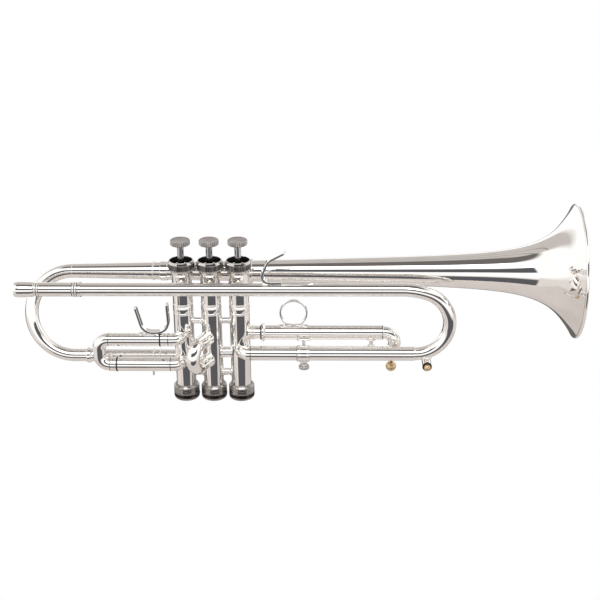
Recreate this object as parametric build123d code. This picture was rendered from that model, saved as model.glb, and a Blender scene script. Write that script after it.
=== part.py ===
from build123d import *
import os

# Three-valve trumpet, millimetres. +X runs along the bell to its mouth, +Z up the valves to the buttons,
# +Y to the player's left. The origin is on the second valve's axis, level with the leadpipe's axis.

# Layout
PITCH = 26.0
LEAD_Y, LEAD_Z = -18.0, 0.0
MAIN_LOW_Z = -63.0
BELL_Y, BELL_Z = 19.0, 4.0
FIRST_Y = -17.0
FIRST_TOP_Z, FIRST_LOW_Z = -49.9, -74.7
SECOND_TURN = -24.6
SECOND_TOP_Z, SECOND_LOW_Z = -52.4, -74.4
THIRD_TOP_Z, THIRD_LOW_Z = -49.7, -70.1
FIT = 0.05
ELBOW_LEAN, ELBOW_BEND = 7.0, 8.0

# Receiver and leadpipe; outlines are (distance from the mouth or place along X, radius)
RECEIVER_X, RECEIVER_R, RECEIVER_RING_R = -175.8, 6.35, 6.85
RECEIVER_BARREL = [(0, 6.6), (1, 6.85), (7, 7.05), (13, 6.95), (17.4, 6.5), (18.2, 6.0), (19.2, 6.0), (19.8, 6.5),
                   (20.6, 6.5), (21.2, 6.1), (22, RECEIVER_R)]
RECEIVER_RINGS = ((-122.4, -120.5), (-119.9, -118.5))
RECEIVER_LIP_X, RING_SLOPE = -116.8, 0.4
SOCKET_DEPTH, SOCKET_MOUTH_R, SOCKET_END_R = 25.4, 5.5, 4.9
LEAD_START_X, LEAD_END_X = -115.3, 156.0
LEAD_R, LEAD_BORE_R = 6.0, 5.2
LEAD_NECK_R, LEAD_NECK_BORE_R, LEAD_NECK_X, LEAD_NECK_TAPER = 5.2, 4.5, -149.0, 6.0
HOOK_PATH = ((66.0, 7.4), (45.0, 7.4), (54.5, 28.0), (69.5, 36.0))
HOOK_WIDTH, HOOK_THICKNESS, HOOK_BEND = 8.0, 2.2, 6.5
HOOK_FOOT_X, HOOK_FOOT_Z, HOOK_FOOT_SIZE = 71.5, 6.3, (45.0, 6.4, 2.4)
LONG = 400.0

# Valves
CASING_R, LOWER_CASING_R, CASING_BORE_R = 9.0, 9.15, 8.3
CASING_TOP_Z, CASING_BOTTOM_Z = 12.9, -107.9
BALUSTER_TOP_Z, BALUSTER_LOW_Z, BALUSTER_R = -20.7, -28.7, 9.4
PORT_R, HOLE_R, PISTON_HOLE_R = 5.0, 4.6, 4.8
BAND_R, RING_HALF, RING_FOOT = 9.1, 0.8, 1.15
PISTON_HOLES = ((-40.5, 0), (-52.5, 90), (-64.5, 35), (-76.5, -35))
CROSS_12_Z, CROSS_23_Z, CROSS_R = -63.4, -69.8, 5.9
PISTON_R = CASING_BORE_R - 0.04
PISTON_TOP_Z, PISTON_BOTTOM_Z = -28.0, -88.0
STEM_R, BUTTON_R = 3.0, 9.0
BUTTON_LOW_Z, BUTTON_TOP_Z = 36.0, 41.4
BUTTON_UNDERCUT, BUTTON_CHAMFER, BUTTON_EDGE, BUTTON_RIM, BUTTON_DISH = 2.0, 1.2, 0.5, 2.1, 0.6
CAP_R, CAP_RIM_R, CAP_OPENING_R, CAP_NECK_R = 12.1, 11.3, 10.3, 10.2
CAP_LOW_Z, CAP_KNURL_Z, CAP_SHOULDER_Z, CAP_TOP_Z = 10.0, 14.7, 20.4, 22.0
CAP_FLOOR_Z, CAP_HOLE_R, CAP_EDGE, CAP_COVE = 14.5, 3.6, 0.5, 0.8
FELT_R, FELT_HOLE_R, FELT_HEIGHT = 8.6, 3.9, 2.6
FOOT_CAP_TOP_Z, FOOT_CAP_LOW_Z, FOOT_CAP_FLOOR_Z = -101.5, -116.3, -112.2
GROOVE_DEPTHS, GROOVE_DEPTH, GROOVE_RISE = (2.6, 5.4, 8.2), 0.65, 1.6
FOOT_OUTLINE, FOOT_BULGE, VENT_R = [(CAP_R, 2.4), (10.9, 0.6), (8.7, 0.0), (3.0, -1.0)], 1.0, 2.0
SPRING_R, SPRING_WIRE_R, SPRING_PITCH, SPRING_GAP = 6.0, 0.5, 4.6, 0.1
BRACES = ((-37.8, 3.3), (-90.0, 4.0))
LEAD_POST_R, BELL_POST_R = 2.6, 3.2

# Bell
BELL_RIM_X, BELL_RIM_R, BELL_WALL, RIM_BEAD_R = 333.0, 60.4, 0.8, 1.5
STEM_START_X, FLARE_START_X = -129.5, 36.0
STEM_START_R, FLARE_START_R = 6.4, 9.8
TAIL_Y, TAIL_Z, TAIL_R, TAIL_FERRULE_X = 0.0, -73.4, 5.85, -118.0
TAIL_TUBE_R, TAIL_RING_R = 5.6, 6.2
TAIL_FERRULE = [(0, 7.2), (3, 7.0), (5, 6.0), (6, TAIL_TUBE_R)]
TAIL_RING = [(-56, TAIL_TUBE_R), (-55.6, TAIL_RING_R), (-48.4, TAIL_RING_R), (-48, TAIL_TUBE_R)]
FERRULE_RINGS = ((-54.8, -53.4, 8.7), (-47.6, -40.9, 8.9), (34.4, 37.6, 11.2))
FERRULE_RELIEF, FERRULE_CLEAR = 0.15, 3.2
FLARE_OUTLINE = [
    (FLARE_START_X, FLARE_START_R), (100, 11.3), (155, 12.8), (210, 14.8), (250, 17.4), (275, 20.6),
    (293, 25.0), (307, 31.2), (317, 38.8), (325, 48.2), (330, 55.4), (BELL_RIM_X, BELL_RIM_R),
]

# Main slide
MAIN_LEG_R, MAIN_LEG_BORE_R, MAIN_BOW_R, MAIN_BOW_BORE_R = 6.5, 5.75, 5.95, 5.2
COLLAR_LEFT_X, COLLAR_RIGHT_X, COLLAR_R = 79.5, 90.8, 7.55
BOW_START_X, BOW_GENTLE_R, BOW_GENTLE_TURN = 174.0, 70.0, 20.0
SCREW_X, SCREW_NECK_R, SCREW_HEAD_R = 85.5, 3.0, 5.0
SCREW_NECK_Z, SCREW_HEAD_TOP_Z, SCREW_HEAD_LOW_Z, SCREW_EDGE = -71.6, -75.0, -78.2, 0.6
BOSS_R = 3.6
UPPER_LEG_X, UPPER_LEG_BORE_R, LOWER_LEG_X, LOWER_LEG_BORE_R, LEG_TAPER, LEG_GAP = 104.0, 4.5, 46.0, 5.0, 1.5, 0.1
KEY_X, KEY_Z, KEY_R, KEY_FLANGE_R, KEY_FOOT_R, KEY_PIN_R = 198.0, -71.8, 4.1, 4.3, 4.4, 3.1
KEY_FRONT_Y, KEY_SEAL_Y, KEY_BACK_Y, KEY_BORE_Y = -28.0, -26.6, -10.5, -20.0
KEY_DOME_Y, KEY_PIN_END_Y = -29.2, -22.4

# First slide
FIRST_TOP_R, FIRST_TOP_BORE_R, FIRST_LOW_R, FIRST_LOW_BORE_R = 6.0, 5.25, 6.4, 5.6
FIRST_BOW_X, FIRST_BOW_END_X, FIRST_BOW_CORNER = -94.0, -103.1, 9.0
FIRST_TOP_SPLIT_X, FIRST_LOW_SPLIT_X, BUMPER_WIDTH, BUMPER_RISE = -46.9, -86.6, 1.3, 0.25
FIRST_INNER_BORE_R, FIRST_LOW_INNER_BORE_R, FIRST_INNER_X, FIRST_LOW_INNER_X = 4.6, 4.9, -88.0, -48.0
STOP_PIN_X, STOP_PIN_R, STOP_PIN_LENGTH, STOP_PIN_DROP = -54.0, 0.9, 5.4, 2.2
SADDLE_PATH = ((-67.6, -17.0), (-61.2, -42.0), (-37.4, -42.0), (-38.6, -13.6))
SADDLE_BEND, SADDLE_WIDTH, SADDLE_THICKNESS = 10.5, 6.4, 2.3
SADDLE_FOOT_X, SADDLE_FOOT_Z, SADDLE_FOOT_SIZE = -56.2, -43.6, (17.6, 6.4, 2.4)

# Second slide, along its own outward axis
SECOND_R, SECOND_BORE_R, SECOND_INNER_BORE_R = 6.2, 5.35, 4.7
SECOND_SPLIT, SECOND_ARC_START, SECOND_PLUG = 24.3, 25.0, 10.5

# Third slide
THIRD_SLEEVE_R, THIRD_SLEEVE_BORE_R, THIRD_LOW_R, THIRD_LOW_BORE_R = 6.6, 5.65, 6.0, 5.2
THIRD_STUB_END_X, THIRD_FLANGE_X, THIRD_SLEEVE_X, THIRD_BOW_X = 44.9, 46.3, 48.9, 158.9
THIRD_LOW_SPLIT_X, THIRD_LOW_GAP, THIRD_BOW_R, THIRD_BOW_BORE_R, THIRD_FLANGE_R = 138.0, 0.8, 5.7, 4.4, 8.5
THIRD_STUB_R, THIRD_STUB_RING_R, THIRD_STUB_RINGS = 6.1, 6.9, ((36.6, 37.6), (38.2, 39.2))
THIRD_TUBE_BORE_R, THIRD_TUBE_END_X, THIRD_INNER_X, THIRD_BUMPER_R = 4.9, 150.0, 74.0, 6.9
RING_X, RING_Z, RING_R, RING_HOLE_R, RING_WIDTH = 75.8, -30.3, 13.0, 11.5, 4.0
RING_FOOT_Z, RING_FOOT_SIZE = -43.4, (26.5, 7.0, 2.6)
BRACE_X, BRACE_FOOT_R, BRACE_WAIST_R = 147.7, 4.8, 1.7
GUIDE_X, GUIDE_LENGTH, GUIDE_GAP, GUIDE_WALL, GUIDE_OPEN, GUIDE_POST_R = 85.0, 11.6, 0.3, 1.1, 3.0, 1.5
BALL_X, BALL_Z, BALL_R, BALL_GAP, BALL_PIN_R, BALL_PIN_TOP, NIPPLE_R = 166.4, -83.9, 4.9, 6.5, 1.7, 8.0, 3.4


def tube(path, outer, inner):
    """Hollow round tube along a path."""
    plane = Plane(origin=path @ 0, z_dir=path % 0)
    return sweep(plane * (Circle(outer) - Circle(inner)), path=path)


def rod(path, radius):
    """Solid round bar along a path."""
    plane = Plane(origin=path @ 0, z_dir=path % 0)
    return sweep(plane * Circle(radius), path=path)


def turned_x(points, y, z):
    """Solid of revolution about a line along X, from (x, radius) points."""
    return Pos(0, y, z) * revolve(make_face(Polyline(*points, close=True)), axis=Axis.X)


def turned_z(points, x):
    """Solid of revolution about a valve's axis, from (radius, z) points."""
    return Pos(x, 0, 0) * revolve(make_face(Plane.XZ * Polyline(*points, close=True)), axis=Axis.Z)


def pipe_x(start, end, y, z, outer, inner):
    """Straight tube along X."""
    return turned_x([(start, inner), (start, outer), (end, outer), (end, inner)], y, z)


def bar_x(y, z, radius, x=0.0, length=LONG):
    """Full round bar along X, used to trim what sits on a tube."""
    return Pos(x, y, z) * Rot(0, 90, 0) * Cylinder(radius, length)


def casing_core(x, radius=LOWER_CASING_R):
    """Full cylinder round a valve's axis, used to trim what meets the casing."""
    return Pos(x, 0, MAIN_LOW_Z) * Cylinder(radius, LONG)


def elbow(valve_x, direction, y, z, end_x, outer, inner):
    """Tube that leaves a casing on its right side and turns to run along X."""
    corner = (valve_x + direction * ELBOW_LEAN, y, z)
    path = FilletPolyline((valve_x, 0, z), corner, (end_x, y, z), radius=ELBOW_BEND)
    return tube(path, outer, inner) - casing_core(valve_x)


def receiver():
    x = RECEIVER_X
    neck = LEAD_NECK_R + FIT
    outline = [(x, SOCKET_MOUTH_R)] + [(x + along, radius) for along, radius in RECEIVER_BARREL]
    for start, end in RECEIVER_RINGS:
        outline += [(start, RECEIVER_R), (start + RING_SLOPE, RECEIVER_RING_R), (end - RING_SLOPE, RECEIVER_RING_R),
                    (end, RECEIVER_R)]
    outline += [
        (RECEIVER_LIP_X, RECEIVER_R), (RECEIVER_LIP_X + RING_SLOPE, RECEIVER_RING_R),
        (LEAD_START_X, RECEIVER_RING_R), (LEAD_START_X, neck),
        (x + SOCKET_DEPTH, neck), (x + SOCKET_DEPTH, SOCKET_END_R),
    ]
    return turned_x(outline, LEAD_Y, LEAD_Z)


def leadpipe():
    outline = [
        (LEAD_NECK_X, LEAD_NECK_BORE_R), (LEAD_NECK_X, LEAD_NECK_R), (LEAD_START_X, LEAD_NECK_R),
        (LEAD_START_X, LEAD_R), (LEAD_END_X, LEAD_R), (LEAD_END_X, LEAD_BORE_R),
        (LEAD_START_X + LEAD_NECK_TAPER, LEAD_BORE_R), (LEAD_START_X, LEAD_NECK_BORE_R),
    ]
    return turned_x(outline, LEAD_Y, LEAD_Z)


def strip(path, width, thickness):
    """Flat strip that follows a path in an XZ plane, its width along Y."""
    plane = Plane(origin=path @ 0, x_dir=(0, 1, 0), z_dir=path % 0)
    return sweep(plane * Rectangle(width, thickness), path=path, transition=Transition.ROUND)


def finger_hook():
    path = FilletPolyline(*((x, LEAD_Y, z) for x, z in HOOK_PATH), radius=HOOK_BEND)
    foot = Pos(HOOK_FOOT_X, LEAD_Y, HOOK_FOOT_Z) * Box(*HOOK_FOOT_SIZE)
    return strip(path, HOOK_WIDTH, HOOK_THICKNESS) + foot - bar_x(LEAD_Y, LEAD_Z, LEAD_R)


def thumb_saddle():
    path = FilletPolyline(*((x, FIRST_Y, z) for x, z in SADDLE_PATH), radius=SADDLE_BEND)
    foot = Pos(SADDLE_FOOT_X, FIRST_Y, SADDLE_FOOT_Z) * Box(*SADDLE_FOOT_SIZE)
    return strip(path, SADDLE_WIDTH, SADDLE_THICKNESS) + foot - bar_x(FIRST_Y, FIRST_TOP_Z, FIRST_TOP_R)


def offset_inwards(curve, thickness, samples=24):
    """Copy a bell outline one wall's thickness inside it."""
    points = []
    for i in range(samples + 1):
        tangent = curve % (i / samples)
        points.append(curve @ (i / samples) + Vector(tangent.Y, -tangent.X) * thickness)
    return Spline(*points)


def bell_flare():
    outside = Spline(*FLARE_OUTLINE)
    inside = offset_inwards(outside, BELL_WALL)
    edges = outside + inside + Line(outside @ 0, inside @ 0) + Line(outside @ 1, inside @ 1)
    return Pos(0, BELL_Y, BELL_Z) * revolve(make_face(edges), axis=Axis.X)


def bell_rim_bead():
    bead = Pos(BELL_RIM_X + RIM_BEAD_R, BELL_Y, BELL_Z) * Rot(0, 90, 0) * Torus(BELL_RIM_R, RIM_BEAD_R)
    return bead - bell_flare()


def stem_cone(wall):
    """Outline of the bell stem, hollow if a wall is given, else full."""
    inner = [(FLARE_START_X, FLARE_START_R - wall), (STEM_START_X, STEM_START_R - wall)] if wall else [
        (FLARE_START_X, 0), (STEM_START_X, 0)]
    outer = [(STEM_START_X, STEM_START_R), (FLARE_START_X, FLARE_START_R)]
    return turned_x(outer + inner, BELL_Y, BELL_Z)


def bell_bow():
    top = Vector(STEM_START_X, BELL_Y, BELL_Z)
    low = Vector(STEM_START_X, TAIL_Y, TAIL_Z)
    reach = (top - low).length / 2
    path = ThreePointArc(top, (top + low) / 2 - Vector(reach, 0, 0), low)
    ends = []
    for outer in (STEM_START_R, TAIL_R):
        at = len(ends)
        plane = Plane(origin=path @ at, z_dir=path % at)
        ends.append((plane * Circle(outer), plane * Circle(outer - BELL_WALL)))
    outside = sweep([ends[0][0], ends[1][0]], path=path, multisection=True)
    inside = sweep([ends[0][1], ends[1][1]], path=path, multisection=True)
    run = pipe_x(STEM_START_X, TAIL_FERRULE_X, TAIL_Y, TAIL_Z, TAIL_R, TAIL_R - BELL_WALL)
    return outside - inside + run


def bell_tail():
    bore = TAIL_R - BELL_WALL
    outline = [(TAIL_FERRULE_X, bore)] + [(TAIL_FERRULE_X + along, radius) for along, radius in TAIL_FERRULE]
    outline += TAIL_RING + [(-PITCH, TAIL_TUBE_R), (-PITCH, bore)]
    return turned_x(outline, TAIL_Y, TAIL_Z) - casing_core(-PITCH)


def bell_ferrules():
    """Raised rings round the stem."""
    flare_start = bar_x(BELL_Y, BELL_Z, FLARE_START_R + FERRULE_RELIEF, FERRULE_RINGS[-1][1], FERRULE_CLEAR)
    rings = []
    for start, end, radius in FERRULE_RINGS:
        ring = turned_x([(start, 0), (start, radius), (end, radius), (end, 0)], BELL_Y, BELL_Z)
        rings.append((ring - stem_cone(0) - flare_start).solid())
    return Compound(children=rings)


def port(x, z, angle):
    """Round hole from a valve's axis outwards, at an angle from +X."""
    reach = 2 * CASING_BORE_R
    return Pos(x, 0, z) * Rot(0, 0, angle) * Pos(reach / 2, 0, 0) * Rot(0, 90, 0) * Cylinder(HOLE_R, reach)


def valve_casing(x, ports):
    low, bore, ring = CASING_BOTTOM_Z, CASING_BORE_R, BALUSTER_R
    top_ring, low_ring = BALUSTER_TOP_Z, BALUSTER_LOW_Z
    outline = [
        (bore, CASING_TOP_Z), (CASING_R, CASING_TOP_Z), (CASING_R, top_ring + RING_FOOT),
        (ring, top_ring + RING_HALF), (ring, top_ring - RING_HALF), (BAND_R, top_ring - RING_FOOT),
        (BAND_R, low_ring + RING_FOOT), (ring, low_ring + RING_HALF), (ring, low_ring - RING_HALF),
        (LOWER_CASING_R, low_ring - RING_FOOT), (LOWER_CASING_R, low), (bore, low),
    ]
    body = turned_z(outline, x)
    for z, angle in ports:
        body -= port(x, z, angle)
    return body


def piston(x):
    body = Pos(x, 0, (PISTON_TOP_Z + PISTON_BOTTOM_Z) / 2) * Cylinder(PISTON_R, PISTON_TOP_Z - PISTON_BOTTOM_Z)
    for z, angle in PISTON_HOLES:
        body -= Pos(x, 0, z) * Rot(0, 0, angle) * Rot(0, 90, 0) * Cylinder(PISTON_HOLE_R, LONG)
    return body


def valve_stem(x):
    height = BUTTON_LOW_Z - PISTON_TOP_Z
    return Pos(x, 0, PISTON_TOP_Z + height / 2) * Cylinder(STEM_R, height)


def button(x):
    low, top, radius = BUTTON_LOW_Z, BUTTON_TOP_Z, BUTTON_R
    outline = [
        (0, low), (radius - BUTTON_UNDERCUT, low), (radius, low + BUTTON_CHAMFER), (radius, top - BUTTON_EDGE),
        (radius - BUTTON_EDGE, top), (radius - BUTTON_RIM, top), (radius - BUTTON_RIM - BUTTON_EDGE, top - BUTTON_DISH),
        (0, top - BUTTON_DISH),
    ]
    return turned_z(outline, x)


def top_cap(x):
    floor, fit_r, roof = CAP_FLOOR_Z, CASING_R + FIT, CASING_TOP_Z + FIT
    outline = [
        (fit_r, CAP_LOW_Z), (CAP_NECK_R, CAP_LOW_Z), (CAP_NECK_R + CAP_EDGE, CAP_KNURL_Z - CAP_COVE),
        (CAP_R, CAP_KNURL_Z), (CAP_R, CAP_SHOULDER_Z), (CAP_RIM_R, CAP_SHOULDER_Z + CAP_EDGE),
        (CAP_RIM_R, CAP_TOP_Z), (CAP_OPENING_R, CAP_TOP_Z), (CAP_OPENING_R, floor), (CAP_HOLE_R, floor),
        (CAP_HOLE_R, roof), (fit_r, roof),
    ]
    return turned_z(outline, x)


def cap_felt(x):
    low = CAP_FLOOR_Z
    top = low + FELT_HEIGHT
    return turned_z([(FELT_HOLE_R, low), (FELT_R, low), (FELT_R, top), (FELT_HOLE_R, top)], x)


def bottom_cap(x):
    top, low, floor, rise = FOOT_CAP_TOP_Z, FOOT_CAP_LOW_Z, FOOT_CAP_FLOOR_Z, GROOVE_RISE
    fit_r, roof = LOWER_CASING_R + FIT, CASING_BOTTOM_Z - FIT
    outline = [(fit_r, top), (CAP_R - GROOVE_DEPTH, top)]
    for depth in GROOVE_DEPTHS:
        groove_z = top - depth
        outline += [(CAP_R, groove_z + rise), (CAP_R, groove_z + GROOVE_DEPTH), (CAP_R - GROOVE_DEPTH, groove_z)]
    outline += [(CAP_R, groove_z - GROOVE_DEPTH)] + [(radius, low + above) for radius, above in FOOT_OUTLINE]
    outline += [(VENT_R, low - FOOT_BULGE), (VENT_R, floor), (CASING_BORE_R, floor), (CASING_BORE_R, roof),
                (fit_r, roof)]
    return turned_z(outline, x)


def valve_spring(x):
    height = PISTON_BOTTOM_Z - FOOT_CAP_FLOOR_Z - 2 * (SPRING_WIRE_R + SPRING_GAP)
    coil = Helix(pitch=SPRING_PITCH, height=height, radius=SPRING_R)
    wire = sweep(Plane(origin=coil @ 0, z_dir=coil % 0) * Circle(SPRING_WIRE_R), path=coil)
    return Pos(x, 0, FOOT_CAP_FLOOR_Z + SPRING_WIRE_R + SPRING_GAP) * wire


def crossover_tubes():
    """Short tubes that join neighbouring casings."""
    solids = []
    for x, z in ((-PITCH, CROSS_12_Z), (0, CROSS_23_Z)):
        link = pipe_x(x, x + PITCH, 0, z, CROSS_R, PORT_R) - casing_core(x) - casing_core(x + PITCH)
        for leg_z in (SECOND_TOP_Z, SECOND_LOW_Z):
            link -= second_frame(rod(Line((0, 0, leg_z), (0, -SECOND_SPLIT, leg_z)), SECOND_R))
        solids.append(link.solid())
    return Compound(children=solids)


def casing_braces():
    """Round bars that hold the casings at their pitch."""
    solids = []
    for x in (-PITCH, 0):
        for z, radius in BRACES:
            bar = bar_x(0, z, radius, x + PITCH / 2, PITCH) - casing_core(x) - casing_core(x + PITCH)
            solids.append(bar.solid())
    return Compound(children=solids)


def pipe_posts():
    """Short posts from the outer casings to the leadpipe on one side and the bell on the other."""
    pipe = bar_x(LEAD_Y, LEAD_Z, LEAD_R)
    solids = []
    for x in (-PITCH, PITCH):
        lead_post = bar_y(x, LEAD_Z, LEAD_POST_R, LEAD_Y, 0) - casing_core(x, CASING_R) - pipe
        bell_post = bar_y(x, BELL_Z, BELL_POST_R, 0, BELL_Y) - casing_core(x, CASING_R) - stem_cone(0)
        solids += [lead_post.solid(), bell_post.solid()]
    return Compound(children=solids)


def main_fixed_leg():
    """Elbow out of the third casing and the fixed outer tube of the main slide's lower leg."""
    return elbow(PITCH, 1, LEAD_Y, MAIN_LOW_Z, COLLAR_RIGHT_X, MAIN_LEG_R, MAIN_LEG_BORE_R)


def clamp_collar():
    x = (COLLAR_LEFT_X + COLLAR_RIGHT_X) / 2
    ring = pipe_x(COLLAR_LEFT_X, COLLAR_RIGHT_X, LEAD_Y, MAIN_LOW_Z, COLLAR_R, 0)
    height = MAIN_LOW_Z - SCREW_NECK_Z - FIT
    boss = Pos(x, LEAD_Y, MAIN_LOW_Z - height / 2) * Cylinder(BOSS_R, height)
    return ring + boss - bar_x(LEAD_Y, MAIN_LOW_Z, MAIN_LEG_R)


def clamp_screw():
    top, low, rim = SCREW_HEAD_TOP_Z, SCREW_HEAD_LOW_Z, SCREW_HEAD_R - SCREW_EDGE
    outline = [
        (0, SCREW_NECK_Z), (SCREW_NECK_R, SCREW_NECK_Z), (SCREW_NECK_R, top), (rim, top),
        (SCREW_HEAD_R, top - SCREW_EDGE), (SCREW_HEAD_R, low + SCREW_EDGE), (rim, low), (0, low),
    ]
    return Pos(0, LEAD_Y, 0) * turned_z(outline, SCREW_X)


def main_upper_leg():
    inner, seam, bore = LEAD_BORE_R - FIT, LEAD_END_X + LEG_GAP, UPPER_LEG_BORE_R
    outline = [
        (UPPER_LEG_X, bore), (UPPER_LEG_X, inner), (seam, inner), (seam, LEAD_R), (BOW_START_X, LEAD_R),
        (BOW_START_X, bore),
    ]
    return turned_x(outline, LEAD_Y, LEAD_Z)


def main_bow_path():
    """Gentle first arc, then a tighter one that comes back level with the lower leg."""
    drop = LEAD_Z - MAIN_LOW_Z
    cos_turn = Vector(1, 0).rotate(Axis.Z, BOW_GENTLE_TURN).X
    tight = (drop - BOW_GENTLE_R * (1 - cos_turn)) / (1 + cos_turn)
    side = Plane(origin=(BOW_START_X, LEAD_Y, LEAD_Z), x_dir=(1, 0, 0), z_dir=(0, -1, 0))
    first = CenterArc((0, -BOW_GENTLE_R), BOW_GENTLE_R, 90, -BOW_GENTLE_TURN)
    radial = Vector(0, 1).rotate(Axis.Z, -BOW_GENTLE_TURN)
    centre = first @ 1 - radial * tight
    second = CenterArc(centre, tight, 90 - BOW_GENTLE_TURN, BOW_GENTLE_TURN - 180)
    return Wire((side * (first + second)).edges())


def main_bow():
    return tube(main_bow_path(), MAIN_BOW_R, MAIN_BOW_BORE_R)


def main_lower_leg():
    end = (main_bow_path() @ 1).X
    inner, start, bore = MAIN_LEG_BORE_R - FIT, COLLAR_RIGHT_X + LEG_GAP, LOWER_LEG_BORE_R
    outline = [
        (LOWER_LEG_X, bore), (LOWER_LEG_X, inner), (start, inner), (start, MAIN_LEG_R),
        (end - LEG_TAPER, MAIN_LEG_R), (end, MAIN_BOW_R), (end, bore),
    ]
    return turned_x(outline, LEAD_Y, MAIN_LOW_Z)


def bar_y(x, z, radius, start, end):
    """Full round bar along Y."""
    return Pos(x, (start + end) / 2, z) * Rot(90, 0, 0) * Cylinder(radius, end - start)


def main_key_body():
    """Barrel across the underside of the bow, with the seal's flange at its open end."""
    barrel = bar_y(KEY_X, KEY_Z, KEY_R, KEY_SEAL_Y, KEY_BACK_Y)
    flange = bar_y(KEY_X, KEY_Z, KEY_FLANGE_R, KEY_FRONT_Y, KEY_SEAL_Y)
    foot = Pos(KEY_X, LEAD_Y, (MAIN_LOW_Z + KEY_Z) / 2) * Cylinder(KEY_FOOT_R, MAIN_LOW_Z - KEY_Z)
    bore = bar_y(KEY_X, KEY_Z, KEY_PIN_R + FIT, KEY_FRONT_Y - FIT, KEY_BORE_Y)
    return barrel + flange + foot - bore - rod(main_bow_path(), MAIN_BOW_R)


def main_key_button():
    shank = bar_y(KEY_X, KEY_Z, KEY_PIN_R, KEY_DOME_Y, KEY_PIN_END_Y)
    return shank + Pos(KEY_X, KEY_DOME_Y, KEY_Z) * Sphere(KEY_PIN_R)


def first_top_fixed():
    x = FIRST_TOP_SPLIT_X + BUMPER_WIDTH
    inner = FIRST_TOP_BORE_R - FIT
    bend = elbow(-PITCH, -1, FIRST_Y, FIRST_TOP_Z, x, FIRST_TOP_R, FIRST_INNER_BORE_R)
    return bend + pipe_x(FIRST_INNER_X, x, FIRST_Y, FIRST_TOP_Z, inner, FIRST_INNER_BORE_R)


def first_low_fixed():
    tube_part = elbow(-PITCH, -1, FIRST_Y, FIRST_LOW_Z, FIRST_LOW_SPLIT_X, FIRST_LOW_R, FIRST_LOW_BORE_R)
    pin = Pos(STOP_PIN_X, FIRST_Y, FIRST_LOW_Z - FIRST_LOW_R - STOP_PIN_DROP) * Cylinder(
        STOP_PIN_R, STOP_PIN_LENGTH)
    tube_part -= bar_x(TAIL_Y, TAIL_Z, TAIL_R)
    return tube_part + (pin - bar_x(FIRST_Y, FIRST_LOW_Z, FIRST_LOW_BORE_R + FIT))


def first_sleeve():
    return pipe_x(FIRST_BOW_X, FIRST_TOP_SPLIT_X, FIRST_Y, FIRST_TOP_Z, FIRST_TOP_R, FIRST_TOP_BORE_R)


def first_inner_leg():
    inner = FIRST_LOW_BORE_R - FIT
    start = FIRST_LOW_SPLIT_X - BUMPER_WIDTH
    outline = [
        (FIRST_BOW_X, FIRST_LOW_INNER_BORE_R), (FIRST_BOW_X, FIRST_LOW_R), (start, FIRST_LOW_R), (start, inner),
        (FIRST_LOW_INNER_X, inner), (FIRST_LOW_INNER_X, FIRST_LOW_INNER_BORE_R),
    ]
    return turned_x(outline, FIRST_Y, FIRST_LOW_Z)


def first_bow():
    x, end, y = FIRST_BOW_X, FIRST_BOW_END_X, FIRST_Y
    points = [(x, y, FIRST_TOP_Z), (end, y, FIRST_TOP_Z), (end, y, FIRST_LOW_Z), (x, y, FIRST_LOW_Z)]
    return tube(FilletPolyline(*points, radius=FIRST_BOW_CORNER), FIRST_TOP_R, FIRST_LOW_INNER_BORE_R)


def first_bumpers():
    """Rubber rings that the slide closes against."""
    top = pipe_x(FIRST_TOP_SPLIT_X + FIT, FIRST_TOP_SPLIT_X + BUMPER_WIDTH - FIT, FIRST_Y, FIRST_TOP_Z,
                 FIRST_TOP_R + BUMPER_RISE, FIRST_TOP_BORE_R)
    low = pipe_x(FIRST_LOW_SPLIT_X - BUMPER_WIDTH + FIT, FIRST_LOW_SPLIT_X - FIT, FIRST_Y, FIRST_LOW_Z,
                 FIRST_LOW_R + BUMPER_RISE, FIRST_LOW_BORE_R)
    return Compound(children=[top.solid(), low.solid()])


def second_frame(shape):
    """Turn what was built along -Y to the second slide's direction."""
    return Rot(0, 0, SECOND_TURN) * shape


def second_fixed_legs():
    solids = []
    for z in (SECOND_TOP_Z, SECOND_LOW_Z):
        leg = second_frame(tube(Line((0, 0, z), (0, -SECOND_SPLIT, z)), SECOND_R, SECOND_BORE_R))
        solids.append((leg - casing_core(0)).solid())
    return Compound(children=solids)


def second_bow():
    start, reach = -SECOND_ARC_START, (SECOND_TOP_Z - SECOND_LOW_Z) / 2
    middle_z = (SECOND_TOP_Z + SECOND_LOW_Z) / 2
    arc = ThreePointArc((0, start, SECOND_TOP_Z), (0, start - reach, middle_z), (0, start, SECOND_LOW_Z))
    bow = tube(arc, SECOND_R, SECOND_INNER_BORE_R)
    for z in (SECOND_TOP_Z, SECOND_LOW_Z):
        shoulder = Line((0, -SECOND_SPLIT - LEG_GAP, z), (0, start, z))
        plug = Line((0, -SECOND_PLUG, z), (0, start, z))
        bow += tube(shoulder, SECOND_R, SECOND_INNER_BORE_R)
        bow += tube(plug, SECOND_BORE_R - FIT, SECOND_INNER_BORE_R)
    return second_frame(bow)


def third_top_fixed():
    end, inner = THIRD_STUB_END_X, THIRD_SLEEVE_BORE_R - FIT
    outline = [(PITCH, THIRD_TUBE_BORE_R), (PITCH, THIRD_STUB_R)]
    for start, stop in THIRD_STUB_RINGS:
        outline += [(start, THIRD_STUB_R), (start, THIRD_STUB_RING_R), (stop, THIRD_STUB_RING_R), (stop, THIRD_STUB_R)]
    outline += [(end, THIRD_STUB_R), (end, inner), (THIRD_TUBE_END_X, inner), (THIRD_TUBE_END_X, THIRD_TUBE_BORE_R)]
    return turned_x(outline, 0, THIRD_TOP_Z) - casing_core(PITCH)


def third_low_fixed():
    leg = pipe_x(PITCH, THIRD_LOW_SPLIT_X, 0, THIRD_LOW_Z, THIRD_LOW_R, THIRD_LOW_BORE_R)
    return leg - casing_core(PITCH)


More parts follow.
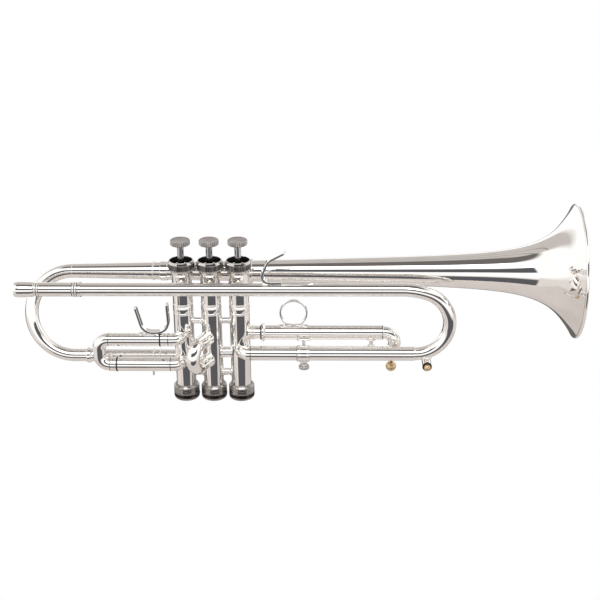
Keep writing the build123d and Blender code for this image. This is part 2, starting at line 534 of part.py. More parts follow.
def third_sleeve():
    flange, start, bore = THIRD_FLANGE_X, THIRD_SLEEVE_X, THIRD_SLEEVE_BORE_R
    outline = [
        (flange, bore), (flange, THIRD_FLANGE_R), (start, THIRD_FLANGE_R), (start, THIRD_SLEEVE_R),
        (THIRD_BOW_X, THIRD_SLEEVE_R), (THIRD_BOW_X, bore),
    ]
    return turned_x(outline, 0, THIRD_TOP_Z)


def third_inner_leg():
    start, inner, bore = THIRD_LOW_SPLIT_X + THIRD_LOW_GAP, THIRD_LOW_BORE_R - FIT, THIRD_BOW_BORE_R
    outline = [
        (THIRD_INNER_X, bore), (THIRD_INNER_X, inner), (start, inner), (start, THIRD_LOW_R),
        (THIRD_BOW_X, THIRD_LOW_R), (THIRD_BOW_X, bore),
    ]
    return turned_x(outline, 0, THIRD_LOW_Z)


def third_bow_path():
    reach = (THIRD_TOP_Z - THIRD_LOW_Z) / 2
    middle = (THIRD_BOW_X + reach, 0, THIRD_TOP_Z - reach)
    return ThreePointArc((THIRD_BOW_X, 0, THIRD_TOP_Z), middle, (THIRD_BOW_X, 0, THIRD_LOW_Z))


def third_bow():
    """Half-round bow with the water key's hole through its lower wall."""
    hole = Pos(BALL_X, 0, THIRD_LOW_Z - THIRD_BOW_BORE_R) * Cylinder(BALL_PIN_R + FIT, 2 * THIRD_BOW_BORE_R)
    return tube(third_bow_path(), THIRD_BOW_R, THIRD_BOW_BORE_R) - hole


def third_bumper():
    return pipe_x(THIRD_STUB_END_X + FIT, THIRD_FLANGE_X - FIT, 0, THIRD_TOP_Z, THIRD_BUMPER_R, THIRD_SLEEVE_BORE_R)


def finger_ring():
    centre = Pos(RING_X, 0, RING_Z) * Rot(90, 0, 0)
    ring = centre * Cylinder(RING_R, RING_WIDTH) - centre * Cylinder(RING_HOLE_R, RING_WIDTH)
    foot = Pos(RING_X, 0, RING_FOOT_Z) * Box(*RING_FOOT_SIZE)
    return ring + foot - bar_x(0, THIRD_TOP_Z, THIRD_SLEEVE_R)


def third_brace():
    """Waisted post between the moving sleeve and the moving ferrule below it."""
    top, low = THIRD_TOP_Z - THIRD_SLEEVE_R, THIRD_LOW_Z + THIRD_LOW_R
    foot, waist, embed, lip, slope = BRACE_FOOT_R, BRACE_WAIST_R, 1.0, 0.6, 2.2
    outline = [
        (0, top + embed), (foot, top + embed), (foot, top - lip), (waist, top - slope), (waist, low + slope),
        (foot, low + lip), (foot, low - embed), (0, low - embed),
    ]
    post = turned_z(outline, BRACE_X)
    return post - bar_x(0, THIRD_TOP_Z, THIRD_SLEEVE_R) - bar_x(0, THIRD_LOW_Z, THIRD_LOW_R)


def third_guide():
    """Half-round saddle under the moving sleeve, on a post from the fixed tube below."""
    inner = THIRD_SLEEVE_R + GUIDE_GAP
    outer = inner + GUIDE_WALL
    left, right = GUIDE_X - GUIDE_LENGTH / 2, GUIDE_X + GUIDE_LENGTH / 2
    saddle = pipe_x(left, right, 0, THIRD_TOP_Z, outer, inner)
    saddle -= Pos(GUIDE_X, 0, THIRD_TOP_Z - GUIDE_OPEN + outer) * Box(2 * GUIDE_LENGTH, 4 * outer, 2 * outer)
    top, low = THIRD_TOP_Z - inner - GUIDE_WALL / 2, THIRD_LOW_Z + THIRD_LOW_BORE_R
    post = Pos(GUIDE_X, 0, (top + low) / 2) * Cylinder(GUIDE_POST_R, top - low)
    return saddle + (post - bar_x(0, THIRD_LOW_Z, THIRD_LOW_R))


def third_key_body():
    """Nipple under the bow that the ball's pin slides in."""
    low = BALL_Z + BALL_GAP
    height = THIRD_LOW_Z - low
    stub = Pos(BALL_X, 0, low + height / 2) * Cylinder(NIPPLE_R, height)
    bore = Pos(BALL_X, 0, low + height / 2) * Cylinder(BALL_PIN_R + FIT, height + FIT)
    return stub - bore - rod(third_bow_path(), THIRD_BOW_R)


def third_key_ball():
    pin = Pos(BALL_X, 0, BALL_Z + BALL_PIN_TOP / 2) * Cylinder(BALL_PIN_R, BALL_PIN_TOP)
    return Pos(BALL_X, 0, BALL_Z) * Sphere(BALL_R) + pin


def save(shape, name):
    export_step(shape, f"parts/{name}.step")


CASING_PORTS = [
    [(TAIL_Z, 180), (FIRST_TOP_Z, -112), (CROSS_12_Z, 0)],
    [(CROSS_12_Z, 180), (CROSS_23_Z, 0), (SECOND_TOP_Z, -90 + SECOND_TURN), (SECOND_LOW_Z, -90 + SECOND_TURN)],
    [(CROSS_23_Z, 180), (THIRD_TOP_Z, 0), (MAIN_LOW_Z, -69)],
]

SINGLE_PARTS = [
    receiver, leadpipe, finger_hook, bell_flare, bell_rim_bead, bell_bow, bell_tail, bell_ferrules,
    crossover_tubes, casing_braces, pipe_posts, main_fixed_leg, clamp_collar, clamp_screw,
    main_upper_leg, main_bow, main_lower_leg, main_key_body, main_key_button, first_top_fixed,
    first_low_fixed, first_sleeve, first_inner_leg, first_bow, first_bumpers, thumb_saddle,
    second_fixed_legs, second_bow, third_top_fixed, third_low_fixed, third_sleeve, third_inner_leg,
    third_bow, third_bumper, finger_ring, third_brace, third_guide, third_key_body, third_key_ball,
]


def main():
    os.makedirs("parts", exist_ok=True)
    for make in SINGLE_PARTS:
        save(make(), make.__name__)
    save(stem_cone(BELL_WALL), "bell_stem")
    valve_xs = (-PITCH, 0.0, PITCH)
    for number, x in enumerate(valve_xs, start=1):
        save(valve_casing(x, CASING_PORTS[number - 1]), f"valve_casing_{number}")
        for make in (piston, valve_stem, button, top_cap, valve_spring):
            save(make(x), f"{make.__name__}_{number}")
    save(Compound(children=[bottom_cap(x).solid() for x in valve_xs]), "bottom_caps")
    save(Compound(children=[cap_felt(x).solid() for x in valve_xs]), "cap_felts")


main()
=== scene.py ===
"""Silver-plated three-valve trumpet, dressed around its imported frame."""
import logging
import math
from collections.abc import Callable
from dataclasses import dataclass, field
from enum import Enum

import bpy
import numpy as np
from mathutils import Matrix, Vector


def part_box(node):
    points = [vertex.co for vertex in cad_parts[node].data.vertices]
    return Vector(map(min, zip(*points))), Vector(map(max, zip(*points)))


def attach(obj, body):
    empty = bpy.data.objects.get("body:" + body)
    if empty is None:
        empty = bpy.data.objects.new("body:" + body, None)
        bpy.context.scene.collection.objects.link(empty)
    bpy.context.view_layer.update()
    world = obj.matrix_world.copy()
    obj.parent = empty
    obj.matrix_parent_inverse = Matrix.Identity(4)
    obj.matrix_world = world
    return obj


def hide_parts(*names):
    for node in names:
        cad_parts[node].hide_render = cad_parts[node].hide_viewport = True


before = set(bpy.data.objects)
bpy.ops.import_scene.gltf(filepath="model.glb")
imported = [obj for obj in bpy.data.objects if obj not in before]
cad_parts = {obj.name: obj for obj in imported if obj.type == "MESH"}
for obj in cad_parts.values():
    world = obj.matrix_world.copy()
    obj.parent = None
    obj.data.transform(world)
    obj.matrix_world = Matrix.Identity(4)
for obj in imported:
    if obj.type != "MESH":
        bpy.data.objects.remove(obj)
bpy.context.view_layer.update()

MM = 0.001
WELD = MM / 1000  # points closer than this are merged
EDGE = 0.12 * MM  # usual rounding of an edge
CREASE = 40.0  # usual limit of smooth shading, in degrees
LOG = logging.getLogger("trumpet")

Colour = tuple[float, float, float]
Profile = list[tuple[float, float]]
Piece = bpy.types.Object
Wire = tuple[bpy.types.Node, str | int, bpy.types.Node, str | int]

X_AXIS, Y_AXIS, Z_AXIS = Vector((1, 0, 0)), Vector((0, 1, 0)), Vector((0, 0, 1))


class Body(Enum):
    """Moving bodies of the frame."""

    HORN = "horn"
    SCREW = "clamp_screw"
    MAIN_SLIDE = "main_slide"
    MAIN_KEY = "main_key"
    FIRST_SLIDE = "first_slide"
    SECOND_SLIDE = "second_slide"
    THIRD_SLIDE = "third_slide"
    THIRD_KEY = "third_key"
    VALVE_1 = "valve_1"
    VALVE_2 = "valve_2"
    VALVE_3 = "valve_3"


class Slot(Enum):
    """Material slots of the record."""

    SILVER = "silver_plate"
    NICKEL = "dark_nickel"
    STEM = "grey_stem"
    PISTON = "piston_metal"
    SPRING = "spring_steel"
    KNURL = "knurled_silver"
    BRASS = "brass"
    RUBBER = "black_rubber"
    FELT = "black_felt"


class Section(Enum):
    """Cross-section of a drawn piece."""

    ROUND = "round"
    FLAT = "flat"


# ---------------------------------------------------------------- bench: selecting and finishing


def mm(*values: float) -> Vector:
    """A place given in thousandths of a metre."""
    return Vector(values) * MM


def outline(*points: tuple[float, float]) -> Profile:
    """Outline points given in thousandths of a metre."""
    return [(a * MM, r * MM) for a, r in points]


def span(node: str) -> tuple[float, float]:
    """Ends of a CAD node's box along X, in thousandths of a metre."""
    low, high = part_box(node)
    return low.x / MM, high.x / MM


def heights(node: str) -> tuple[float, float]:
    """Foot and top of a CAD node's box, in thousandths of a metre."""
    low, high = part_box(node)
    return low.z / MM, high.z / MM


def across(axis: Vector) -> Vector:
    """A unit vector square to an axis."""
    side = Z_AXIS if abs(axis.z) < 0.9 else X_AXIS
    return (side - axis * side.dot(axis)).normalized()


def clear_selection() -> None:
    """Leave nothing selected, in object mode."""
    if bpy.context.object and bpy.context.object.mode == "EDIT":
        bpy.ops.object.mode_set(mode="OBJECT")
    bpy.ops.object.select_all(action="DESELECT")


def pick(piece: Piece) -> None:
    """Make one object the only selected and the active one, in object mode."""
    clear_selection()
    piece.select_set(True)
    bpy.context.view_layer.objects.active = piece


def settle(piece: Piece) -> None:
    """Put an object's place, turn and scale into its mesh."""
    pick(piece)
    bpy.ops.object.transform_apply(location=True, rotation=True, scale=True)


def named(name: str) -> Piece:
    """Name the object that was just added, and its mesh, and settle it."""
    piece = bpy.context.object
    piece.name = name
    piece.data.name = name
    settle(piece)
    return piece


def open_up(piece: Piece) -> None:
    """Open one object in edit mode with every vertex selected."""
    pick(piece)
    bpy.ops.object.mode_set(mode="EDIT")
    bpy.ops.mesh.select_mode(type="VERT")
    bpy.ops.mesh.select_all(action="SELECT")


def close_up(piece: Piece) -> None:
    """Merge doubles, close open ends and turn every face outwards."""
    open_up(piece)
    bpy.ops.mesh.remove_doubles(threshold=WELD)
    bpy.ops.mesh.select_all(action="SELECT")
    bpy.ops.mesh.fill_holes(sides=0)
    bpy.ops.mesh.select_all(action="SELECT")
    bpy.ops.mesh.normals_make_consistent(inside=False)
    bpy.ops.object.mode_set(mode="OBJECT")


def apply_modifier(piece: Piece, kind: str, **values: float | int | str | bool) -> None:
    """Add a modifier, set it and apply it.

    Args:
        piece: The mesh to shape.
        kind: Blender's modifier type.
        **values: Settings for the modifier.
    """
    modifier = piece.modifiers.new(kind.lower(), kind)
    for key, value in values.items():
        setattr(modifier, key, value)
    pick(piece)
    bpy.ops.object.modifier_apply(modifier=modifier.name)


def soften(piece: Piece, width: float, segments: int = 2, above: float = 32.0) -> None:
    """Round every sharp edge a little, as buffing does.

    Args:
        piece: The mesh to soften.
        width: Width of the rounding, in metres; 0 leaves the edges alone.
        segments: Steps in the rounding.
        above: Edges sharper than this many degrees are rounded.
    """
    if width > 0:
        apply_modifier(piece, "BEVEL", width=width, segments=segments, limit_method="ANGLE",
                       angle_limit=math.radians(above), use_clamp_overlap=True)


def give_wall(piece: Piece, wall: float) -> None:
    """Open the filled ends of a closed tube and give it a wall that grows inwards.

    Args:
        piece: A tube closed by one many-sided face at each end.
        wall: Thickness, in metres.
    """
    open_up(piece)
    bpy.ops.mesh.select_mode(type="FACE")
    bpy.ops.mesh.select_all(action="DESELECT")
    bpy.ops.mesh.select_face_by_sides(number=4, type="GREATER")
    bpy.ops.mesh.delete(type="ONLY_FACE")
    bpy.ops.object.mode_set(mode="OBJECT")
    apply_modifier(piece, "SOLIDIFY", thickness=wall, offset=-1)


def buff(piece: Piece, angle: float = CREASE) -> None:
    """Shade a piece smooth, with breaks at edges sharper than the angle in degrees."""
    pick(piece)
    bpy.ops.object.shade_smooth_by_angle(angle=math.radians(angle))


def choose(piece: Piece, test: Callable[[Vector], bool]) -> None:
    """Open a piece in edit mode with only the vertices selected whose place passes a test."""
    open_up(piece)
    bpy.ops.mesh.select_all(action="DESELECT")
    bpy.ops.object.mode_set(mode="OBJECT")
    for vertex in piece.data.vertices:
        vertex.select = test(vertex.co)
    bpy.ops.object.mode_set(mode="EDIT")


def copy_of(piece: Piece, name: str, move: Vector) -> Piece:
    """Copy a piece with its own mesh and move the copy.

    Args:
        piece: The piece to copy.
        name: Name of the copy.
        move: How far it moves, in metres.

    Returns:
        The copy.
    """
    pick(piece)
    bpy.ops.object.duplicate(linked=False)
    bpy.ops.transform.translate(value=move)
    return named(name)


def joined(name: str, *parts: Piece) -> Piece:
    """Join parts into one piece.

    Args:
        name: Name of the result.
        *parts: The parts, which become one object.

    Returns:
        The joined piece.
    """
    pick(parts[0])
    for part in parts:
        part.select_set(True)
    bpy.ops.object.join()
    return named(name)


def through(points: Profile, steps: int) -> Profile:
    """Natural cubic spline through an outline's points.

    Args:
        points: Points that the curve passes through, in metres.
        steps: Number of pieces that the curve is divided into.

    Returns:
        The points along the curve.
    """
    values = np.array(points)
    gaps = np.linalg.norm(np.diff(values, axis=0), axis=1)
    knots = np.concatenate(([0.0], np.cumsum(gaps)))
    last = len(points) - 1
    matrix, right = np.eye(last + 1), np.zeros((last + 1, 2))
    for i in range(1, last):
        matrix[i, i - 1:i + 2] = gaps[i - 1], 2 * (gaps[i - 1] + gaps[i]), gaps[i]
        right[i] = 6 * ((values[i + 1] - values[i]) / gaps[i] - (values[i] - values[i - 1]) / gaps[i - 1])
    curves = np.linalg.solve(matrix, right)
    result = []
    for along in np.linspace(0.0, knots[-1], steps + 1):
        i = min(int(np.searchsorted(knots, along, side="right")) - 1, last - 1)
        a, b = (knots[i + 1] - along) / gaps[i], (along - knots[i]) / gaps[i]
        pull = ((a ** 3 - a) * curves[i] + (b ** 3 - b) * curves[i + 1]) * gaps[i] ** 2 / 6
        point = a * values[i] + b * values[i + 1] + pull
        result.append((float(point[0]), float(point[1])))
    return result


def arc(centre: tuple[float, float], radius: float, start: float, end: float, steps: int = 8) -> Profile:
    """Part of a circle in an outline.

    Args:
        centre: Its centre, in metres.
        radius: Its radius, in metres.
        start: First angle, in degrees from the axis.
        end: Last angle, in degrees.
        steps: Number of pieces.

    Returns:
        The points along the arc.
    """
    angles = [math.radians(start + (end - start) * i / steps) for i in range(steps + 1)]
    return [(centre[0] + radius * math.cos(a), centre[1] + radius * math.sin(a)) for a in angles]


def bead(place: float, base: float, width: float, height: float) -> Profile:
    """A half-round ring on a tube's outline, running towards lower places if the width is negative.

    Args:
        place: Middle of the ring along the axis, in metres.
        base: Radius of the tube, in metres.
        width: Width of the ring, in metres.
        height: Height over the tube, in metres.

    Returns:
        The points over the ring.
    """
    steps = 6
    turns = [math.pi * i / steps for i in range(steps + 1)]
    return [(place - width / 2 * math.cos(t), base + height * math.sin(t)) for t in turns]


@dataclass
class Lathe:
    """Turns outlines of (distance along the axis, radius) round an axis."""

    origin: Vector
    axis: Vector
    steps: int = 96

    def rough(self, name: str, profile: Profile, closed: bool = True) -> Piece:
        """Extrude a vertex along an outline and spin it.

        Args:
            name: Name of the piece.
            profile: Points of the outline, in metres.
            closed: Whether the outline returns to its first point.

        Returns:
            The piece, closed and unsoftened.
        """
        points = [self.origin + self.axis * a + across(self.axis) * r for a, r in profile]
        if closed:
            points.append(points[0])
        clear_selection()
        bpy.ops.mesh.primitive_plane_add(size=MM, location=points[0])
        piece = named(name)
        open_up(piece)
        bpy.ops.mesh.merge(type="CENTER")
        for before, after in zip(points, points[1:]):
            bpy.ops.mesh.extrude_region_move(TRANSFORM_OT_translate={"value": after - before})
        bpy.ops.mesh.select_all(action="SELECT")
        bpy.ops.mesh.remove_doubles(threshold=WELD)
        bpy.ops.mesh.select_all(action="SELECT")
        bpy.ops.mesh.spin(steps=self.steps, angle=math.tau, center=self.origin, axis=self.axis)
        close_up(piece)
        return piece

    def turn(self, name: str, profile: Profile, closed: bool = True, bevel: float = EDGE,
             wall: float = 0.0, angle: float = CREASE) -> Piece:
        """Turn an outline, give it a wall if asked, round its edges and smooth it.

        Args:
            name: Name of the piece.
            profile: Points of the outline, in metres.
            closed: Whether the outline returns to its first point.
            bevel: Width of the rounding, in metres.
            wall: Wall of an open outline, in metres, or 0 for a solid.
            angle: Smooth-shading limit, in degrees.

        Returns:
            The finished piece.
        """
        piece = self.rough(name, profile, closed)
        if wall:
            give_wall(piece, wall)
        soften(piece, bevel)
        buff(piece, angle)
        return piece

    def flute(self, piece: Piece, every: int, factors: dict[int, float],
              inside: Callable[[float, float], bool]) -> None:
        """Move columns of vertices in or out, to cut flutes or teeth.

        Args:
            piece: A piece turned on this lathe.
            every: Columns in one flute.
            factors: Scale of the radius for each column of a flute that moves.
            inside: Test on distance along the axis and radius.
        """
        side = across(self.axis)
        third = self.axis.cross(side)

        def column(place: Vector) -> int:
            offset = place - self.origin
            turned = math.atan2(offset.dot(third), offset.dot(side)) / math.tau
            return round(turned * self.steps) % every

        def within(place: Vector) -> bool:
            offset = place - self.origin
            along = offset.dot(self.axis)
            return inside(along, (offset - self.axis * along).length)

        for index, factor in factors.items():
            choose(piece, lambda place: column(place) == index and within(place))
            scale = [1.0 if abs(part) > 0.9 else factor for part in self.axis]
            bpy.ops.transform.resize(value=scale, center_override=self.origin)
        bpy.ops.object.mode_set(mode="OBJECT")


@dataclass
class Bender:
    """Draws a tube or a flat strip along runs and arcs."""

    start: Vector
    heading: Vector
    width: float
    thickness: float = 0.0
    section: Section = Section.ROUND
    sides: int = 64
    here: Vector = field(init=False)

    def begin(self, name: str) -> Piece:
        """Lay down the first section and leave it selected in edit mode.

        Args:
            name: Name of the piece.

        Returns:
            The piece, in edit mode.
        """
        self.here = self.start.copy()
        clear_selection()
        if self.section is Section.ROUND:
            turned = self.heading.to_track_quat("Z", "Y").to_euler()
            bpy.ops.mesh.primitive_circle_add(vertices=self.sides, radius=self.width / 2,
                                              location=self.start, rotation=turned)
            piece = named(name)
        else:
            columns = (Y_AXIS, self.heading.cross(Y_AXIS), self.heading)
            turned = Matrix(columns).transposed().to_euler()
            bpy.ops.mesh.primitive_plane_add(size=1, location=self.start, rotation=turned)
            bpy.context.object.scale = (self.width, self.thickness, 1)
            piece = named(name)
        open_up(piece)
        if self.section is Section.FLAT:
            bpy.ops.mesh.delete(type="ONLY_FACE")
            bpy.ops.mesh.select_all(action="SELECT")
        return piece

    def run(self, length: float, scale: float = 1.0) -> None:
        """Extrude straight ahead.

        Args:
            length: Distance, in metres.
            scale: Size of the new section against the last one.
        """
        move = self.heading * length
        self.here = self.here + move
        bpy.ops.mesh.extrude_region_move(TRANSFORM_OT_translate={"value": move})
        if scale != 1.0:
            bpy.ops.transform.resize(value=(scale,) * 3, center_override=self.here)

    def bend(self, radius: float, degrees: float, axis: Vector, steps: int = 24,
             scale: float = 1.0) -> None:
        """Spin the section round an arc.

        Args:
            radius: Radius of the arc, in metres.
            degrees: Right-handed turn about the axis.
            axis: Direction of the arc's axis.
            steps: Sections in the arc.
            scale: Size of the last section against the first.
        """
        pivot = self.here + axis.cross(self.heading) * radius
        turn = math.radians(degrees) / steps
        single = Matrix.Rotation(turn, 3, axis)
        factor = scale ** (1 / steps)
        for _ in range(steps):
            bpy.ops.mesh.spin(steps=1, angle=-turn, center=pivot, axis=axis)
            self.here = pivot + single @ (self.here - pivot)
            self.heading = single @ self.heading
            if scale != 1.0:
                bpy.ops.transform.resize(value=(factor,) * 3, center_override=self.here)

    def follow(self, points: list[Vector], radius: float, steps: int = 14) -> None:
        """Run along straight lines whose corners are rounded.

        Args:
            points: Start, corners and end.
            radius: Radius at each corner, in metres.
            steps: Sections in each corner.
        """
        for before, corner, after in zip(points, points[1:], points[2:]):
            ahead, next_way = (corner - before).normalized(), (after - corner).normalized()
            angle = ahead.angle(next_way)
            self.run((corner - self.here).length - radius * math.tan(angle / 2))
            self.bend(radius, math.degrees(angle), ahead.cross(next_way).normalized(), steps)
            self.heading = next_way
        self.run((points[-1] - self.here).length)

    def seam(self, depth: float = 0.25 * MM) -> None:
        """Cut the fine groove of a soldered joint."""
        scale = 1 - 2 * depth / self.width
        self.run(depth, scale)
        self.run(depth, 1 / scale)

    def round_tip(self) -> None:
        """Finish a strip with a rounded end."""
        for length, scale in ((0.7, 0.94), (0.5, 0.86), (0.3, 0.7)):
            self.run(length * MM, scale)

    def finish(self, piece: Piece, wall: float = 0.0, bevel: float = EDGE, segments: int = 2,
               angle: float = CREASE) -> Piece:
        """Close the piece, give it its wall and soften it.

        Args:
            piece: The drawn mesh.
            wall: Wall of a tube, in metres, or 0 for a solid bar.
            bevel: Width of the rounding, in metres.
            segments: Steps in the rounding.
            angle: Smooth-shading limit, in degrees.

        Returns:
            The finished piece.
        """
        close_up(piece)
        if wall:
            give_wall(piece, wall)
        soften(piece, bevel, segments)
        buff(piece, angle)
        return piece


# ---------------------------------------------------------------- finishes


def add_node(tree: bpy.types.NodeTree, kind: str, **values: object) -> bpy.types.Node:
    """Add a node and set its properties.

    Args:
        tree: The tree it goes into.
        kind: Node type.
        **values: Properties; a name that is an input sets that socket.

    Returns:
        The node.
    """
    node = tree.nodes.new(kind)
    for key, value in values.items():
        socket = key.replace("_", " ")
        if hasattr(node, key):
            setattr(node, key, value)
        else:
            node.inputs[socket].default_value = value
    return node


def connect(tree: bpy.types.NodeTree, *wires: Wire) -> None:
    """Link nodes, each wire given as a node, its output, the next node and its input."""
    for source, output, target, entry in wires:
        tree.links.new(source.outputs[output], target.inputs[entry])


@dataclass(frozen=True)
class Effect:
    """A shared surface effect, as a node group with named sockets."""

    name: str
    inputs: tuple[tuple[str, str], ...]
    outputs: tuple[tuple[str, str], ...]
    wire: Callable[[bpy.types.NodeTree, bpy.types.Node, bpy.types.Node], None]

    def group(self) -> bpy.types.NodeTree:
        """The node group, built the first time it is asked for."""
        made = bpy.data.node_groups.get(self.name)
        if made:
            return made
        tree = bpy.data.node_groups.new(self.name, "ShaderNodeTree")
        kinds = {"value": "NodeSocketFloat", "colour": "NodeSocketColor", "vector": "NodeSocketVector"}
        for sockets, side in ((self.inputs, "INPUT"), (self.outputs, "OUTPUT")):
            for label, kind in sockets:
                tree.interface.new_socket(name=label, in_out=side, socket_type=kinds[kind])
        self.wire(tree, tree.nodes.new("NodeGroupInput"), tree.nodes.new("NodeGroupOutput"))
        return tree

    def place(self, tree: bpy.types.NodeTree, **values: object) -> bpy.types.Node:
        """Put the group into a material with its own values.

        Args:
            tree: The material's tree.
            **values: Values of its inputs, by name with underscores for spaces.

        Returns:
            The group's node.
        """
        node = tree.nodes.new("ShaderNodeGroup")
        node.node_tree = self.group()
        for key, value in values.items():
            node.inputs[key.replace("_", " ")].default_value = value
        return node


def wire_haze(tree: bpy.types.NodeTree, given: bpy.types.Node, out: bpy.types.Node) -> None:
    """Cloudy patches where hands have dulled a polish."""
    coords = tree.nodes.new("ShaderNodeTexCoord")
    broad = add_node(tree, "ShaderNodeTexNoise", Detail=4.0, Roughness=0.6)
    fine = add_node(tree, "ShaderNodeTexNoise", Detail=2.0, Roughness=0.5, Scale=900.0)
    both = add_node(tree, "ShaderNodeMix", data_type="FLOAT")
    both.inputs["Factor"].default_value = 0.3
    level = add_node(tree, "ShaderNodeMapRange", interpolation_type="SMOOTHSTEP", From_Min=0.38,
                     From_Max=0.7)
    rough = tree.nodes.new("ShaderNodeMapRange")
    tint = add_node(tree, "ShaderNodeMix", data_type="RGBA")
    connect(tree, (coords, "Object", broad, "Vector"), (coords, "Object", fine, "Vector"),
            (given, "Scale", broad, "Scale"), (broad, "Fac", both, "A"), (fine, "Fac", both, "B"),
            (both, "Result", level, "Value"), (level, "Result", rough, "Value"),
            (given, "Polished", rough, "To Min"), (given, "Dulled", rough, "To Max"),
            (level, "Result", tint, "Factor"), (given, "Clean", tint, "A"), (given, "Tarnished", tint, "B"),
            (rough, "Result", out, "Roughness"), (tint, "Result", out, "Colour"))


def wire_wear(tree: bpy.types.NodeTree, given: bpy.types.Node, out: bpy.types.Node) -> None:
    """Brighter metal on the edges that rub."""
    shape = tree.nodes.new("ShaderNodeNewGeometry")
    coords = tree.nodes.new("ShaderNodeTexCoord")
    breakup = add_node(tree, "ShaderNodeTexNoise", Scale=420.0, Detail=3.0)
    edge = add_node(tree, "ShaderNodeMapRange", interpolation_type="SMOOTHSTEP", From_Min=0.52,
                    From_Max=0.62)
    patchy = add_node(tree, "ShaderNodeMapRange", From_Min=0.3, From_Max=0.6, To_Min=0.35, To_Max=1.0)
    mask = add_node(tree, "ShaderNodeMath", operation="MULTIPLY")
    scaled = add_node(tree, "ShaderNodeMath", operation="MULTIPLY", use_clamp=True)
    blend = add_node(tree, "ShaderNodeMix", data_type="RGBA")
    connect(tree, (coords, "Object", breakup, "Vector"), (shape, "Pointiness", edge, "Value"),
            (breakup, "Fac", patchy, "Value"), (edge, "Result", mask, 0), (patchy, "Result", mask, 1),
            (mask, "Value", scaled, 0), (given, "Amount", scaled, 1), (scaled, "Value", blend, "Factor"),
            (given, "Base", blend, "A"), (given, "Worn", blend, "B"), (blend, "Result", out, "Colour"))


def wire_grain(tree: bpy.types.NodeTree, given: bpy.types.Node, out: bpy.types.Node) -> None:
    """Height of hairlines left by the buffing wheel, or of a felt's nap."""
    coords = tree.nodes.new("ShaderNodeTexCoord")
    stretch = tree.nodes.new("ShaderNodeMapping")
    lines = add_node(tree, "ShaderNodeTexNoise", Detail=5.0, Roughness=0.7)
    connect(tree, (coords, "Object", stretch, "Vector"), (given, "Stretch", stretch, "Scale"),
            (stretch, "Vector", lines, "Vector"), (given, "Scale", lines, "Scale"),
            (lines, "Fac", out, "Height"))


HAZE = Effect("polish haze", (("Scale", "value"), ("Polished", "value"), ("Dulled", "value"),
                              ("Clean", "colour"), ("Tarnished", "colour")),
              (("Colour", "colour"), ("Roughness", "value")), wire_haze)
WEAR = Effect("edge wear", (("Base", "colour"), ("Worn", "colour"), ("Amount", "value")),
              (("Colour", "colour"),), wire_wear)
GRAIN = Effect("buffing grain", (("Scale", "value"), ("Stretch", "vector")), (("Height", "value"),),
               wire_grain)


@dataclass(frozen=True)
class Finish:
    """A surface finish: what its shader and its shared effects are set to."""

    name: str
    slot: Slot
    clean: Colour
    tarnished: Colour
    worn: Colour
    polished: float
    dulled: float
    metallic: float = 1.0
    haze_scale: float = 60.0
    wear: float = 0.4
    grain_scale: float = 700.0
    grain_stretch: tuple[float, float, float] = (0.15, 1.0, 1.0)
    grain_depth: float = 0.4e-6
    sheen: float = 0.0

    def material(self) -> bpy.types.Material:
        """The material, built the first time it is asked for."""
        made = bpy.data.materials.get(self.name)
        if made:
            return made
        made = bpy.data.materials.new(self.name)
        made.use_nodes = True
        tree = made.node_tree
        shader = tree.nodes["Principled BSDF"]
        haze = HAZE.place(tree, Scale=self.haze_scale, Polished=self.polished, Dulled=self.dulled,
                          Clean=(*self.clean, 1), Tarnished=(*self.tarnished, 1))
        wear = WEAR.place(tree, Worn=(*self.worn, 1), Amount=self.wear)
        grain = GRAIN.place(tree, Scale=self.grain_scale, Stretch=self.grain_stretch)
        bump = add_node(tree, "ShaderNodeBump", Strength=1.0, Distance=self.grain_depth)
        connect(tree, (haze, "Colour", wear, "Base"), (wear, "Colour", shader, "Base Color"),
                (haze, "Roughness", shader, "Roughness"), (grain, "Height", bump, "Height"),
                (bump, "Normal", shader, "Normal"))
        shader.inputs["Metallic"].default_value = self.metallic
        shader.inputs["Sheen Weight"].default_value = self.sheen
        made.diffuse_color = (*self.clean, 1)
        return made


SILVER = Finish("polished silver plate", Slot.SILVER, (0.95, 0.935, 0.915), (0.90, 0.87, 0.83),
                (0.98, 0.97, 0.95), 0.025, 0.055, wear=0.3)
SEAM = Finish("tarnished joint", Slot.SILVER, (0.07, 0.06, 0.055), (0.04, 0.035, 0.03), (0.16, 0.14, 0.13),
              0.3, 0.45)
SATIN = Finish("satin grey stem", Slot.STEM, (0.60, 0.59, 0.60), (0.50, 0.49, 0.50), (0.8, 0.79, 0.78),
               0.16, 0.26, grain_scale=900.0, grain_stretch=(1.0, 1.0, 0.1), grain_depth=1.5e-6)
NICKEL = Finish("bright nickel", Slot.NICKEL, (0.66, 0.635, 0.61), (0.54, 0.51, 0.48), (0.90, 0.88, 0.86),
                0.05, 0.11, haze_scale=150.0, wear=0.6)
FOOT = Finish("smoked nickel", Slot.NICKEL, (0.38, 0.36, 0.345), (0.28, 0.26, 0.25), (0.95, 0.93, 0.90),
              0.07, 0.15, haze_scale=150.0, wear=1.0)
TEETH = Finish("knurled dark nickel", Slot.NICKEL, (0.19, 0.177, 0.17), (0.12, 0.112, 0.107),
               (0.55, 0.52, 0.50), 0.16, 0.28, haze_scale=200.0, wear=0.7)
BUTTON = Finish("blasted nickel", Slot.NICKEL, (0.46, 0.43, 0.42), (0.39, 0.36, 0.355), (0.74, 0.72, 0.70),
                0.34, 0.46, haze_scale=200.0, wear=0.9, grain_scale=2500.0, grain_stretch=(1.0, 1.0, 1.0),
                grain_depth=8e-6)
PISTON = Finish("lapped piston", Slot.PISTON, (0.72, 0.71, 0.69), (0.62, 0.61, 0.59), (0.85, 0.84, 0.83),
                0.14, 0.24, grain_stretch=(1.0, 1.0, 0.1))
SPRING = Finish("spring steel", Slot.SPRING, (0.50, 0.49, 0.48), (0.40, 0.38, 0.36), (0.7, 0.69, 0.68),
                0.22, 0.34)
